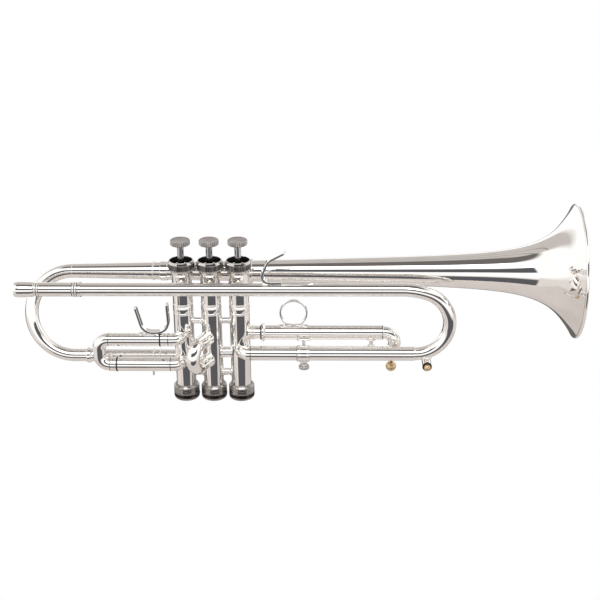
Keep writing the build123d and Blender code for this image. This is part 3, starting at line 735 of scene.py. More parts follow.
SCREW = Finish("knurled silver", Slot.KNURL, (0.62, 0.60, 0.58), (0.48, 0.46, 0.44), (0.92, 0.90, 0.88),
               0.09, 0.18, wear=0.8)
BRASS = Finish("bare brass", Slot.BRASS, (0.74, 0.56, 0.33), (0.60, 0.43, 0.24), (0.93, 0.78, 0.52),
               0.05, 0.12, haze_scale=90.0, wear=0.5)
RUBBER = Finish("black rubber", Slot.RUBBER, (0.012, 0.012, 0.013), (0.03, 0.029, 0.028),
                (0.05, 0.05, 0.05), 0.38, 0.55, metallic=0.0, grain_stretch=(1.0, 1.0, 1.0),
                grain_depth=10e-6)
FELT = Finish("black felt", Slot.FELT, (0.008, 0.008, 0.009), (0.022, 0.021, 0.021), (0.03, 0.03, 0.03),
              0.8, 0.95, metallic=0.0, haze_scale=900.0, grain_scale=3000.0, grain_stretch=(1.0, 1.0, 1.0),
              grain_depth=90e-6, sheen=0.3)
# Near-black lining of the cap bowls: painted shade for the recess under each button.
BOWL_SHADE = Finish("bowl painted shade", Slot.FELT, (0.006, 0.006, 0.006), (0.015, 0.014, 0.014),
                 (0.05, 0.05, 0.05), 0.25, 0.4, metallic=0.0, haze_scale=200.0)
ROW_FINISHES = {finish.slot.value: finish
                for finish in (SILVER, SATIN, NICKEL, PISTON, SPRING, SCREW, BRASS, RUBBER, FELT)}


# ---------------------------------------------------------------- sub-assemblies


@dataclass
class SubAssembly:
    """Handwork that every sub-assembly shares."""

    made: list[Piece] = field(default_factory=list, init=False)

    def dress(self, piece: Piece, finish: Finish, body: Body, *nodes: str) -> Piece:
        """Give a piece its finish, its body and the CAD nodes that it stands for.

        Args:
            piece: The finished mesh.
            finish: Its surface.
            body: The body that it moves with.
            *nodes: The CAD nodes that it replaces.

        Returns:
            The piece.
        """
        apply_modifier(piece, "WEIGHTED_NORMAL", mode="FACE_AREA", weight=50, keep_sharp=True)
        piece.data.materials.clear()
        piece.data.materials.append(finish.material())
        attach(piece, body.value)
        if nodes:
            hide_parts(*nodes)
        self.made.append(piece)
        return piece

    def lines(self, name: str, body: Body, y: float, *rings: tuple[float, float, float]) -> None:
        """Fine dark joint lines round tubes that run along X.

        Args:
            name: Name of the piece.
            body: The body that the lines move with.
            y: Y of the tubes; this and the rings are in thousandths of a metre.
            *rings: X, height and radius of each line.
        """
        parts = []
        for x, z, radius in rings:
            profile = outline((-0.25, radius - 0.3), (-0.25, radius + 0.03), (0.25, radius + 0.03),
                              (0.25, radius - 0.3))
            parts.append(Lathe(mm(x, y, z), X_AXIS, 72).turn(f"{name}{len(parts)}", profile, bevel=0))
        self.dress(joined(name, *parts) if len(parts) > 1 else parts[0], SEAM, body)


@dataclass
class Mouthpipe(SubAssembly):
    """Receiver, leadpipe and the finger hook on it."""

    axis_y: float = -18.0 * MM
    mouth_x: float = -175.8 * MM
    pipe_r: float = 6.0 * MM
    pipe_bore: float = 5.2 * MM
    neck_r: float = 5.2 * MM
    neck_bore: float = 4.5 * MM
    barrel_r: float = 6.35 * MM
    socket: tuple[float, float, float] = (5.5 * MM, 4.9 * MM, 25.4 * MM)
    hook_width: float = 8.0 * MM
    hook_thickness: float = 2.2 * MM
    hook_bend: float = 6.5 * MM

    def lathe(self) -> Lathe:
        """A lathe on the leadpipe's axis."""
        return Lathe(Vector((0, self.axis_y, 0)), X_AXIS)

    def receiver(self) -> None:
        """Bulged barrel, ring groups and tapered socket."""
        start, base = self.mouth_x, self.barrel_r
        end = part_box("receiver")[1].x
        bulge = through([(start + 0.5 * MM, 6.55 * MM), (start + 2 * MM, 6.9 * MM),
                         (start + 8 * MM, 7.04 * MM), (start + 14 * MM, 6.85 * MM),
                         (start + 17.4 * MM, 6.45 * MM)], 24)
        mouth, throat, depth = self.socket
        profile = [(start, mouth + 0.3 * MM), (start, 6.3 * MM), *bulge]
        for place in (start + 19.1 * MM, start + 21.3 * MM):
            profile += bead(place, 5.8 * MM, 1.7 * MM, 0.95 * MM)
        profile += [(start + 22.6 * MM, 5.9 * MM), (start + 23.0 * MM, base), (end - 7.9 * MM, base)]
        for place in (end - 6.7 * MM, end - 4.4 * MM):
            profile += bead(place, base - 0.35 * MM, 1.8 * MM, 0.85 * MM)
        profile += [(end - 3.2 * MM, base), (end - 2.1 * MM, base), (end - 1.9 * MM, base - 0.35 * MM),
                    (end - 1.6 * MM, base + 0.45 * MM), (end, base + 0.45 * MM),
                    (end, self.neck_r), (start + depth, self.neck_r), (start + depth, throat),
                    (start + 0.8 * MM, mouth)]
        piece = self.lathe().turn("receiver_barrel", profile, bevel=0.06 * MM)
        self.dress(piece, SILVER, Body.HORN, "receiver")
        near, far, neck = start / MM, end / MM, base / MM
        self.lines("receiver_lines", Body.HORN, self.axis_y / MM, (near + 18.0, 0, 5.95),
                   (near + 20.2, 0, 5.85), (near + 22.4, 0, 5.85), (far - 7.8, 0, neck),
                   (far - 5.55, 0, neck - 0.25), (far - 3.3, 0, neck))

    def leadpipe(self) -> None:
        """Long drawn pipe with a thin neck inside the receiver."""
        low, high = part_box("leadpipe")
        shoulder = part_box("receiver")[1].x
        profile = [(low.x, self.neck_bore), (low.x, self.neck_r - 0.01 * MM),
                   (shoulder, self.neck_r - 0.01 * MM), (shoulder, self.pipe_r), (high.x, self.pipe_r),
                   (high.x, self.pipe_bore), (shoulder + 6 * MM, self.pipe_bore),
                   (shoulder, self.neck_bore)]
        piece = self.lathe().turn("leadpipe_tube", profile, bevel=0.1 * MM)
        self.dress(piece, SILVER, Body.HORN, "leadpipe")

    def hook(self) -> None:
        """Open finger hook: a bent strip on a slim foot."""
        y = self.axis_y / MM
        path = [mm(66, y, 7.4), mm(45, y, 7.4), mm(54.5, y, 28), mm(68.4, y, 35.4)]
        bender = Bender(path[0], -X_AXIS, self.hook_width, self.hook_thickness, Section.FLAT)
        strip = bender.begin("hook_strip")
        bender.follow(path, self.hook_bend)
        bender.round_tip()
        bender.finish(strip, bevel=0.75 * MM, segments=4)
        foot = saddle_foot("hook_foot", mm(71.5, y, 0), self.pipe_r, 45 * MM, 6.4 * MM, 1.5 * MM)
        piece = joined("finger_hook_strip", strip, foot)
        self.dress(piece, SILVER, Body.HORN, "finger_hook")

    def build(self) -> None:
        """Make every piece."""
        self.receiver()
        self.leadpipe()
        self.hook()


def saddle_foot(name: str, centre: Vector, inner: float, length: float, width: float,
                rise: float) -> Piece:
    """Curved plate that lies along the top of a tube.

    Args:
        name: Name of the plate.
        centre: Point on the tube's axis under the middle of the plate.
        inner: Radius of the tube, in metres.
        length: Length along X, in metres.
        width: Width across, in metres.
        rise: Height over the tube, in metres.

    Returns:
        The plate.
    """
    half = math.asin(width / 2 / (inner + rise))
    clear_selection()
    bpy.ops.mesh.primitive_plane_add(size=MM, location=centre)
    piece = named(name)
    open_up(piece)
    bpy.ops.mesh.merge(type="CENTER")
    corner = Vector((-length / 2, -math.sin(half) * inner, math.cos(half) * inner))
    bpy.ops.transform.translate(value=corner)
    steps = 8
    for _ in range(steps):
        bpy.ops.mesh.extrude_region_move(TRANSFORM_OT_translate={"value": (length / steps, 0, 0)})
    bpy.ops.mesh.select_all(action="SELECT")
    bpy.ops.mesh.spin(steps=12, angle=2 * half, center=centre, axis=X_AXIS)
    bpy.ops.object.mode_set(mode="OBJECT")
    for ratio, keep in ((0.5, 0.45), (0.38, 0.8)):
        limit = length * ratio - 0.01 * MM
        choose(piece, lambda place: abs(place.x - centre.x) > limit)
        bpy.ops.transform.resize(value=(1, keep, 1), center_override=centre)
        bpy.ops.object.mode_set(mode="OBJECT")
    open_up(piece)
    bpy.ops.mesh.normals_make_consistent(inside=False)
    bpy.ops.object.mode_set(mode="OBJECT")
    outward = sum(face.normal.z for face in piece.data.polygons) > 0
    apply_modifier(piece, "SOLIDIFY", thickness=rise, offset=1 if outward else -1)
    soften(piece, 0.35 * MM, 2)
    buff(piece)
    return piece


@dataclass
class Bell(SubAssembly):
    """Flare, stem, bow, tail and the rings on them."""

    axis_y: float = 19.0 * MM
    axis_z: float = 4.0 * MM
    tail_y: float = 0.0
    tail_z: float = -73.4 * MM
    wall: float = 0.8 * MM
    stem_start_r: float = 6.4 * MM
    flare_start_r: float = 9.8 * MM
    tail_r: float = 5.85 * MM
    rim_r: float = 60.4 * MM
    bead_r: float = 1.5 * MM
    flare: tuple[tuple[float, float], ...] = ((100, 11.3), (155, 12.8), (210, 14.8), (250, 17.4),
                                              (275, 20.6), (293, 25.0), (307, 31.2), (317, 38.8),
                                              (325, 48.2), (330, 55.4))

    def lathe(self, steps: int = 128) -> Lathe:
        """A lathe on the bell's axis."""
        return Lathe(Vector((0, self.axis_y, self.axis_z)), X_AXIS, steps)

    def flare_cone(self) -> None:
        """Flare with a thin wall."""
        start, rim_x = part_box("bell_flare")[0].x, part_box("bell_rim_bead")[0].x
        points = [(start, self.flare_start_r), *outline(*self.flare), (rim_x, self.rim_r)]
        piece = self.lathe(192).turn("bell_flare_cone", through(points, 110), closed=False, wall=self.wall,
                                     bevel=0.1 * MM)
        self.dress(piece, SILVER, Body.HORN, "bell_flare")

    def rim(self) -> None:
        """Wire that the rim is rolled over."""
        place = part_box("bell_rim_bead")[0].x + self.bead_r
        profile = arc((place, self.rim_r), self.bead_r, 0, 360, 20)[:-1]
        piece = self.lathe(192).turn("bell_rim_wire", profile, bevel=0, angle=60)
        self.dress(piece, SILVER, Body.HORN, "bell_rim_bead")

    def stem(self) -> None:
        """Slow cone between the bow and the flare."""
        low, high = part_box("bell_stem")
        profile = [(low.x, self.stem_start_r), (high.x, self.flare_start_r)]
        piece = self.lathe().turn("bell_stem_cone", profile, closed=False, wall=self.wall)
        self.dress(piece, SILVER, Body.HORN, "bell_stem")

    def bow(self) -> None:
        """Half turn that tapers down to the tail."""
        start = Vector((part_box("bell_stem")[0].x, self.axis_y, self.axis_z))
        end = Vector((start.x, self.tail_y, self.tail_z))
        radius = (start - end).length / 2
        spin_axis = (start - end).normalized().cross(X_AXIS)
        bender = Bender(start, -X_AXIS, 2 * self.stem_start_r)
        piece = bender.begin("bell_bow_tube")
        bender.seam()
        bender.here = start.copy()
        bender.bend(radius, 180, -spin_axis, 56, self.tail_r / self.stem_start_r)
        bender.heading = X_AXIS.copy()
        bender.run(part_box("bell_bow")[1].x - start.x)
        bender.finish(piece, wall=self.wall)
        self.dress(piece, SILVER, Body.HORN, "bell_bow")

    def tail(self) -> None:
        """Ferrule and tail tube into the first casing."""
        low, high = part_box("bell_tail")
        x, bore = low.x / MM, (self.tail_r - self.wall) / MM
        profile = outline((x, bore), (x, 6.9), (x + 0.8, 7.2), (x + 2.4, 7.1), (x + 4.2, 6.3),
                          (x + 6, 5.6))
        for place in (-54.9, -49.1):
            profile += bead(place * MM, 5.6 * MM, 1.2 * MM, 0.6 * MM)
        profile += outline((high.x / MM, 5.6), (high.x / MM, bore))
        piece = Lathe(Vector((0, self.tail_y, self.tail_z)), X_AXIS).turn("bell_tail_tube", profile)
        self.dress(piece, SILVER, Body.HORN, "bell_tail")

    def ferrules(self) -> None:
        """Rings round the stem."""
        rings = []
        for start, end, radius in ((-54.8, -53.4, 8.7), (-47.6, -40.9, 8.9), (34.4, 37.6, 11.2)):
            inner = radius - 1.6
            profile = outline((start, inner), (start, radius - 0.3), (start + 0.5, radius),
                              (end - 0.5, radius), (end, radius - 0.3), (end, inner))
            rings.append(self.lathe().turn(f"ferrule{len(rings)}", profile, bevel=0.2 * MM))
        self.dress(joined("bell_ferrule_rings", *rings), SILVER, Body.HORN, "bell_ferrules")

    def build(self) -> None:
        """Make every piece."""
        self.flare_cone()
        self.rim()
        self.stem()
        self.bow()
        self.tail()
        self.ferrules()


@dataclass
class Valves(SubAssembly):
    """Casings, caps, buttons, stems and what joins the casings."""

    pitch: float = 26.0 * MM
    bore: float = 8.3 * MM
    upper_r: float = 9.0 * MM
    lower_r: float = 9.15 * MM
    ring_tops: tuple[float, float] = (-20.7 * MM, -28.7 * MM)
    cap_teeth: int = 44
    foot_teeth: int = 90
    button_flutes: int = 30

    def places(self) -> list[float]:
        """X of the three valve axes."""
        return [-self.pitch, 0.0, self.pitch]

    def lathe(self, steps: int = 96) -> Lathe:
        """A lathe on the middle valve's axis."""
        return Lathe(Vector((0, 0, 0)), Z_AXIS, steps)

    def set_of_three(self, first: Piece, name: str) -> list[Piece]:
        """Copy a middle piece to the outer valves and return the three in order."""
        left = copy_of(first, f"{name}_1", Vector((-self.pitch, 0, 0)))
        right = copy_of(first, f"{name}_3", Vector((self.pitch, 0, 0)))
        return [left, first, right]

    def casings(self) -> None:
        """Casings with a bulged band between two rings."""
        low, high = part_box("valve_casing_2")
        top_ring, low_ring = self.ring_tops
        profile = [(high.z, self.bore), (high.z, self.upper_r), (top_ring + 1.4 * MM, self.upper_r)]
        profile += bead(top_ring + 0.2 * MM, self.upper_r, -1.7 * MM, 0.4 * MM)
        profile += through([(top_ring - 0.9 * MM, 9.02 * MM), ((top_ring + low_ring) / 2, 9.36 * MM),
                            (low_ring + 0.9 * MM, 9.05 * MM)], 14)
        profile += bead(low_ring - 0.2 * MM, self.upper_r, -1.7 * MM, 0.4 * MM)
        profile += [(low_ring - 1.4 * MM, self.lower_r), (low.z, self.lower_r), (low.z, self.bore)]
        middle = self.lathe(128).turn("casing_2", profile)
        for number, piece in enumerate(self.set_of_three(middle, "casing"), start=1):
            self.dress(piece, SILVER, Body.HORN, f"valve_casing_{number}")

    def toothed(self, name: str, low: float, high: float, radius: float, teeth: int, every: int) -> None:
        """Dark toothed bands round the three caps.

        Args:
            name: Name of the bands.
            low: Height of their lower edge, in thousandths of a metre.
            high: Height of their upper edge.
            radius: Radius over the teeth.
            teeth: Number of teeth.
            every: Columns in one tooth.
        """
        lathe = self.lathe(teeth * every)
        profile = outline((low, radius - 0.9), (low, radius - 0.35), (low + 0.3, radius),
                          (high - 0.3, radius), (high, radius - 0.35), (high, radius - 0.9))
        middle = lathe.rough(f"{name}_2", profile)
        cut = {0: 0.945, 1: 0.975} if every > 2 else {0: 0.955}
        lathe.flute(middle, every, cut, lambda a, r: r > (radius - 0.2) * MM)
        buff(middle, 25)
        for piece in self.set_of_three(middle, name):
            self.dress(piece, TEETH, Body.HORN)

    def top_caps(self) -> None:
        """Caps with a toothed band, a chamfer and a bowl lined in near-black as painted shade."""
        z, top = heights("top_cap_2")
        profile = outline((z, 9.05), (z, 10.0), (z + 0.25, 10.25), (z + 0.9, 10.25), (z + 1.15, 9.95),
                          (z + 2.4, 9.95), (z + 3.3, 10.2), (z + 3.9, 10.8), (z + 4.3, 11.5),
                          (z + 9.4, 11.5), (z + 9.7, 11.75), (top - 0.45, 10.95), (top, 10.75),
                          (top, 10.45), (top - 0.4, 10.3), (top - 7.0, 10.3), (top - 7.0, 3.6),
                          (top - 8.6, 3.6), (top - 8.6, 9.05))
        middle = self.lathe(128).turn("cap_2", profile, bevel=0.07 * MM, angle=32)
        for number, piece in enumerate(self.set_of_three(middle, "cap"), start=1):
            self.dress(piece, NICKEL, Body.HORN, f"top_cap_{number}")
        self.toothed("cap_teeth", z + 4.35, z + 9.35, 12.05, self.cap_teeth, 4)
        # Near-black lining of each bowl: painted shade in the recess under the button.
        bowl = outline((top - 0.6, 10.28), (top - 6.95, 10.28), (top - 6.95, 3.7), (top - 6.75, 3.7),
                       (top - 6.75, 9.9), (top - 6.4, 10.15), (top - 0.6, 10.15))
        shade_lining = self.lathe().turn("bowl_2", bowl, bevel=0.03 * MM)
        for piece in self.set_of_three(shade_lining, "bowl"):
            self.dress(piece, BOWL_SHADE, Body.HORN)

    def felts(self) -> None:
        """Felt washer and its small open ring in each bowl."""
        low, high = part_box("cap_felts")
        z, top = low.z / MM + 0.26, high.z / MM
        profile = outline((z, 3.9), (z, 8.4), (z + 0.5, 8.6), (top - 0.6, 8.5), (top - 0.1, 8.0),
                          (top, 6.8), (top - 0.1, 4.4), (top - 0.4, 3.95))
        middle = self.lathe().turn("felt_2", profile, bevel=0.2 * MM)
        self.dress(joined("felt_washers", *self.set_of_three(middle, "felt")), FELT, Body.HORN,
                   "cap_felts")
        ring = arc((high.z + 0.2 * MM, 5.7 * MM), 0.5 * MM, 0, 360, 14)[:-1]
        collar = self.lathe(72).turn("stem_ring_2", ring, bevel=0, angle=60)
        for piece in self.set_of_three(collar, "stem_ring"):
            self.dress(piece, SILVER, Body.HORN)

    def buttons(self) -> None:
        """Fluted finger buttons with a shallow dish."""
        (z, top), every = heights("button_2"), 6
        lathe = self.lathe(self.button_flutes * every)
        profile = outline((z, 0), (z, 4.2), (z + 0.1, 6.2), (z + 0.3, 7.4), (z + 0.7, 8.5), (z + 1.1, 9.0),
                          (top - 0.5, 9.0), (top - 0.2, 8.7), (top, 8.2), (top, 7.4), (top - 0.15, 6.9),
                          (top - 0.25, 6.2), (top - 0.3, 4.0), (top - 0.3, 0))
        middle = lathe.rough("finger_button_2", profile, closed=False)
        cut = {0: 0.93, 1: 0.945, 5: 0.945, 2: 0.98, 4: 0.98}
        lathe.flute(middle, every, cut, lambda a, r: r > 8.3 * MM)
        buff(middle, 38)
        for number, piece in enumerate(self.set_of_three(middle, "finger_button"), start=1):
            self.dress(piece, BUTTON, Body(f"valve_{number}"), f"button_{number}")

    def stems(self) -> None:
        """Stems with a shoulder under the button and another at the piston."""
        z, top = heights("valve_stem_2")
        profile = outline((z, 0), (z, 3.0), (z + 2, 3.0), (z + 2.4, 2.85), (z + 45.5, 2.85), (z + 46, 3.0),
                          (top - 1.4, 3.0), (top - 0.9, 3.0), (top, 3.0), (top, 0))
        middle = self.lathe(64).turn("stem_2", profile, closed=False, bevel=0.15 * MM)
        for number, piece in enumerate(self.set_of_three(middle, "stem"), start=1):
            self.dress(piece, SATIN, Body(f"valve_{number}"), f"valve_stem_{number}")

    def bottom_caps(self) -> None:
        """Grooved caps with a toothed band and a vented, rounded foot."""
        foot, top = heights("bottom_caps")
        points = [(top, 9.2), (top, 10.1), (top - 0.3, 10.7), (top - 1.7, 11.8)]
        for groove in (top - 2.6, top - 4.8, top - 7.0):
            points += [(groove + 0.5, 12.0), (groove + 0.2, 11.35), (groove - 0.2, 11.35),
                       (groove - 0.5, 12.0)]
        points += [(top - 8.3, 12.0), (top - 8.5, 11.5), (top - 12.1, 11.5), (top - 12.3, 12.0)]
        rounding = through([(top - 12.3, 12.0), (top - 13.6, 11.5), (top - 14.6, 10.4), (top - 15.2, 8.4),
                            (foot, 3.2)], 16)
        points += [*rounding[1:], (foot + 0.2, 2.4), (foot + 0.8, 2.0), (-112.2, 2.0), (-112.2, 8.3),
                   (-107.95, 8.3), (-107.95, 9.2)]
        middle = self.lathe(128).turn("bottom_cap_2", outline(*points), bevel=0.06 * MM, angle=32)
        self.toothed("foot_teeth", top - 12.05, top - 8.55, 12.1, self.foot_teeth, 2)
        piece = joined("bottom_cap_set", *self.set_of_three(middle, "bottom_cap"))
        self.dress(piece, FOOT, Body.HORN, "bottom_caps")

    def link(self, name: str, z: float, radius: float, flange: float) -> Piece:
        """Waisted bar or tube between the first two casings.

        Args:
            name: Name of the piece.
            z: Height of its axis, in metres.
            radius: Its radius, in metres.
            flange: How far its ends flare, in metres.

        Returns:
            The piece.
        """
        half = self.pitch / 2
        foot = half - math.sqrt(self.lower_r ** 2 - (radius * 0.8) ** 2)
        groove, wide = 0.35 * MM, radius + flange
        sunk = foot + 0.6 * MM if radius > 5 * MM else half - self.bore - 0.12 * MM
        side = [(sunk, wide), (foot - 0.7 * MM, wide), (foot - 1.6 * MM, radius), (groove, radius),
                (0.0, radius - 0.5 * groove)]
        mirrored = [(-along, width) for along, width in side[:-1]]
        ends = [(-side[0][0], 0.0), *mirrored, *side[::-1], (side[0][0], 0.0)]
        lathe = Lathe(Vector((-half, 0, z)), X_AXIS, 72)
        return lathe.turn(name, ends, closed=False)

    def links(self) -> None:
        """Crossover tubes and braces between the casings."""
        first = self.link("crossover_a", -63.4 * MM, 5.1 * MM, 0.8 * MM)
        second = self.link("crossover_b", -69.8 * MM, 5.1 * MM, 0.8 * MM)
        open_up(second)
        bpy.ops.transform.translate(value=(self.pitch, 0, 0))
        bpy.ops.object.mode_set(mode="OBJECT")
        self.dress(joined("crossover_pair", first, second), SILVER, Body.HORN, "crossover_tubes")
        braces = []
        for z, radius in ((-37.8 * MM, 2.9 * MM), (-90.0 * MM, 3.3 * MM)):
            near = self.link("brace", z, radius, 0.85 * MM)
            braces += [near, copy_of(near, "brace_far", Vector((self.pitch, 0, 0)))]
        self.dress(joined("casing_brace_set", *braces), SILVER, Body.HORN, "casing_braces")

    def posts(self) -> None:
        """Flanged posts from the outer casings to the leadpipe and the bell."""
        posts = []
        for x in (-self.pitch, self.pitch):
            for z, radius, start, end in ((0.0, 2.1, -12.3, -8.4), (4.0, 2.7, 8.2, 11.2)):
                flange = radius + 0.5
                profile = outline((start, 0), (start, flange), (start + 0.7, flange), (start + 1.2, radius),
                                  (end - 1.2, radius), (end - 0.7, flange), (end, flange), (end, 0))
                lathe = Lathe(Vector((x, 0, z * MM)), Y_AXIS, 48)
                posts.append(lathe.turn(f"post{len(posts)}", profile, closed=False, bevel=0.15 * MM))
        self.dress(joined("pipe_post_set", *posts), SILVER, Body.HORN, "pipe_posts")

    def build(self) -> None:
        """Make every piece."""
        self.casings()
        self.top_caps()
        self.felts()
        self.buttons()
        self.stems()
        self.bottom_caps()
        self.links()
        self.posts()


def straight(name: str, start: float, end: float, y: float, z: float, outer: float, inner: float) -> Piece:
    """Drawn straight tube along X, sizes in thousandths of a metre."""
    profile = outline((start, inner), (start, outer), (end, outer), (end, inner))
    return Lathe(mm(0, y, z), X_AXIS).turn(name, profile, bevel=0.15 * MM)


def elbow(name: str, valve_x: float, side: int, y: float, z: float, end_x: float, radius: float,
          wall: float, seam_x: float) -> Piece:
    """Tube that leaves a casing sideways and turns to run along X.

    Args:
        name: Name of the piece.
        valve_x: X of the valve's axis; this and the other sizes are in thousandths of a metre.
        side: 1 to run towards the bell's mouth, -1 towards the mouthpiece.
        y: Y of the run.
        z: Height of the tube.
        end_x: Where the run ends.
        radius: Outer radius.
        wall: Wall thickness.
        seam_x: Where the knuckle is soldered to the straight tube.

    Returns:
        The piece.
    """
    casing, lean, corner_radius = mm(valve_x, 0, z), 4.0, 7.0
    corner = mm(valve_x + side * lean, y, z)
    away = (corner - casing).normalized()
    bender = Bender(casing + away * 8.75 * MM, away, 2 * radius * MM)
    piece = bender.begin(name)
    bender.follow([bender.start, corner, mm(seam_x, y, z)], corner_radius * MM, 18)
    bender.seam()
    bender.run((mm(end_x, y, z) - bender.here).length)
    return bender.finish(piece, wall=wall * MM, bevel=0.15 * MM)


@dataclass
class MainSlide(SubAssembly):
    """Tuning slide, the leg that it enters, its clamp and its water key."""

    y: float = -18.0
    low_z: float = -63.0
    leg_r: float = 6.5
    leg_bore: float = 5.75
    bow_r: float = 5.95
    bow_wall: float = 0.75
    gentle: tuple[float, float] = (70.0, 20.0)
    key_at: tuple[float, float] = (198.0, -71.8)
    screw_flutes: int = 32

    def fixed_leg(self) -> None:
        """Elbow out of the third casing and the leg's fixed tube."""
        end = span("main_fixed_leg")[1]
        piece = elbow("main_leg_elbow", 26.0, 1, self.y, self.low_z, end, self.leg_r,
                      self.leg_r - self.leg_bore, 36.4)
        self.dress(piece, SILVER, Body.HORN, "main_fixed_leg")
        self.lines("main_leg_lines", Body.HORN, self.y, (36.4, self.low_z, self.leg_r),
                   (span("clamp_collar")[0] - 0.15, self.low_z, 7.2))

    def collar(self) -> None:
        """Clamp collar with a boss, and its knurled screw."""
        start, end = span("clamp_collar")
        profile = outline((start, 6.52), (start, 7.2), (start + 0.4, 7.55), (start + 1.8, 7.55),
                          (start + 2.2, 7.2), (end - 2.2, 7.2), (end - 1.8, 7.55), (end - 0.4, 7.55),
                          (end, 7.2), (end, 6.52))
        ring = Lathe(mm(0, self.y, self.low_z), X_AXIS).turn("clamp_ring", profile, bevel=0.15 * MM)
        middle = (start + end) / 2
        shape = outline((-69.2, 0), (-69.2, 4.1), (-69.9, 3.8), (-70.6, 3.4), (-71.5, 3.4), (-71.5, 0))
        boss = Lathe(mm(middle, self.y, 0), Z_AXIS, 64).turn("clamp_boss", shape, closed=False)
        self.dress(joined("clamp_collar_ring", ring, boss), SILVER, Body.HORN, "clamp_collar")
        (foot, top), every = heights("clamp_screw"), 4
        lathe = Lathe(mm(sum(span("clamp_screw")) / 2, self.y, 0), Z_AXIS, self.screw_flutes * every)
        points = outline((top, 0), (top, 3.0), (top - 2.7, 3.0), (top - 3.0, 3.6), (top - 3.4, 4.3),
                         (top - 3.8, 4.95), (foot + 0.7, 4.95), (foot + 0.2, 4.4), (foot, 3.6),
                         (foot + 0.25, 2.2), (foot + 0.3, 0))
        piece = lathe.rough("thumb_screw", points, closed=False)
        lathe.flute(piece, every, {0: 0.93, 1: 0.965, 3: 0.965}, lambda a, r: r > 4.8 * MM)
        soften(piece, 0.06 * MM, 1, 50)
        buff(piece, 35)
        self.dress(piece, SCREW, Body.SCREW, "clamp_screw")

    def legs(self) -> None:
        """Two inner legs with the visible ends of their ferrules."""
        start, end = span("main_upper_leg")
        seam = span("leadpipe")[1] + 0.1
        profile = outline((start, 4.5), (start, 5.15), (seam, 5.15), (seam, 6.0), (end - 0.3, 6.0),
                          (end, 5.9), (end, 4.5))
        piece = Lathe(mm(0, self.y, 0), X_AXIS).turn("upper_leg_tube", profile, bevel=0.1 * MM)
        self.dress(piece, SILVER, Body.MAIN_SLIDE, "main_upper_leg")
        start, end = span("main_lower_leg")
        seam = span("main_fixed_leg")[1] + 0.1
        profile = outline((start, 5.0), (start, 5.7), (seam, 5.7), (seam, self.leg_r),
                          (end - 1.6, self.leg_r), (end - 1.0, 6.15), (end, self.bow_r), (end, 5.0))
        piece = Lathe(mm(0, self.y, self.low_z), X_AXIS).turn("lower_leg_tube", profile)
        self.dress(piece, SILVER, Body.MAIN_SLIDE, "main_lower_leg")

    def bow(self) -> None:
        """Bow with a gentle first arc and a tight return."""
        start = span("main_bow")[0]
        wide, turn = self.gentle
        cosine = math.cos(math.radians(turn))
        tight = (-self.low_z - wide * (1 - cosine)) / (1 + cosine)
        bender = Bender(mm(start, self.y, 0), X_AXIS.copy(), 2 * self.bow_r * MM)
        piece = bender.begin("main_bow_tube")
        bender.bend(wide * MM, turn, Y_AXIS, 16)
        bender.bend(tight * MM, 180 - turn, Y_AXIS, 56)
        bender.finish(piece, wall=self.bow_wall * MM)
        self.dress(piece, SILVER, Body.MAIN_SLIDE, "main_bow")

    def water_key(self) -> None:
        """Barrel, rubber seal ring and brass push button."""
        x, z = self.key_at
        lathe = Lathe(mm(x, 0, z), -Y_AXIS, 64)
        barrel = outline((10.5, 0), (10.5, 3.6), (10.9, 4.0), (12.6, 4.1), (26.6, 4.1), (26.6, 3.15),
                         (20.0, 3.15), (20.0, 0))
        shape = outline((z + 3.25, 0), (z + 3.25, 2.4), (z + 3.6, 3.2), (z + 4.4, 4.0), (z + 5.2, 4.9),
                        (z + 6.0, 4.9), (z + 6.6, 4.2), (z + 6.6, 0))
        foot = Lathe(mm(x, self.y, 0), Z_AXIS, 64).turn("key_foot", shape, closed=False, bevel=0.2 * MM)
        body = joined("main_key_barrel", lathe.turn("key_barrel", barrel, closed=False), foot)
        self.dress(body, SILVER, Body.MAIN_SLIDE, "main_key_body")
        seal = outline((26.6, 3.2), (26.6, 4.1), (26.9, 4.35), (27.7, 4.35), (28.0, 4.1), (28.0, 3.2))
        self.dress(lathe.turn("main_key_seal", seal, bevel=0.2 * MM), RUBBER, Body.MAIN_SLIDE)
        button = outline((22.4, 0), (22.4, 3.1), (28.9, 3.1)) + arc((29.2 * MM, 0), 3.1 * MM, 88, 0, 14)
        push = lathe.turn("main_key_push", button, closed=False, bevel=0.05 * MM)
        self.dress(push, BRASS, Body.MAIN_KEY, "main_key_button")

    def build(self) -> None:
        """Make every piece."""
        self.fixed_leg()
        self.collar()
        self.legs()
        self.bow()
        self.water_key()


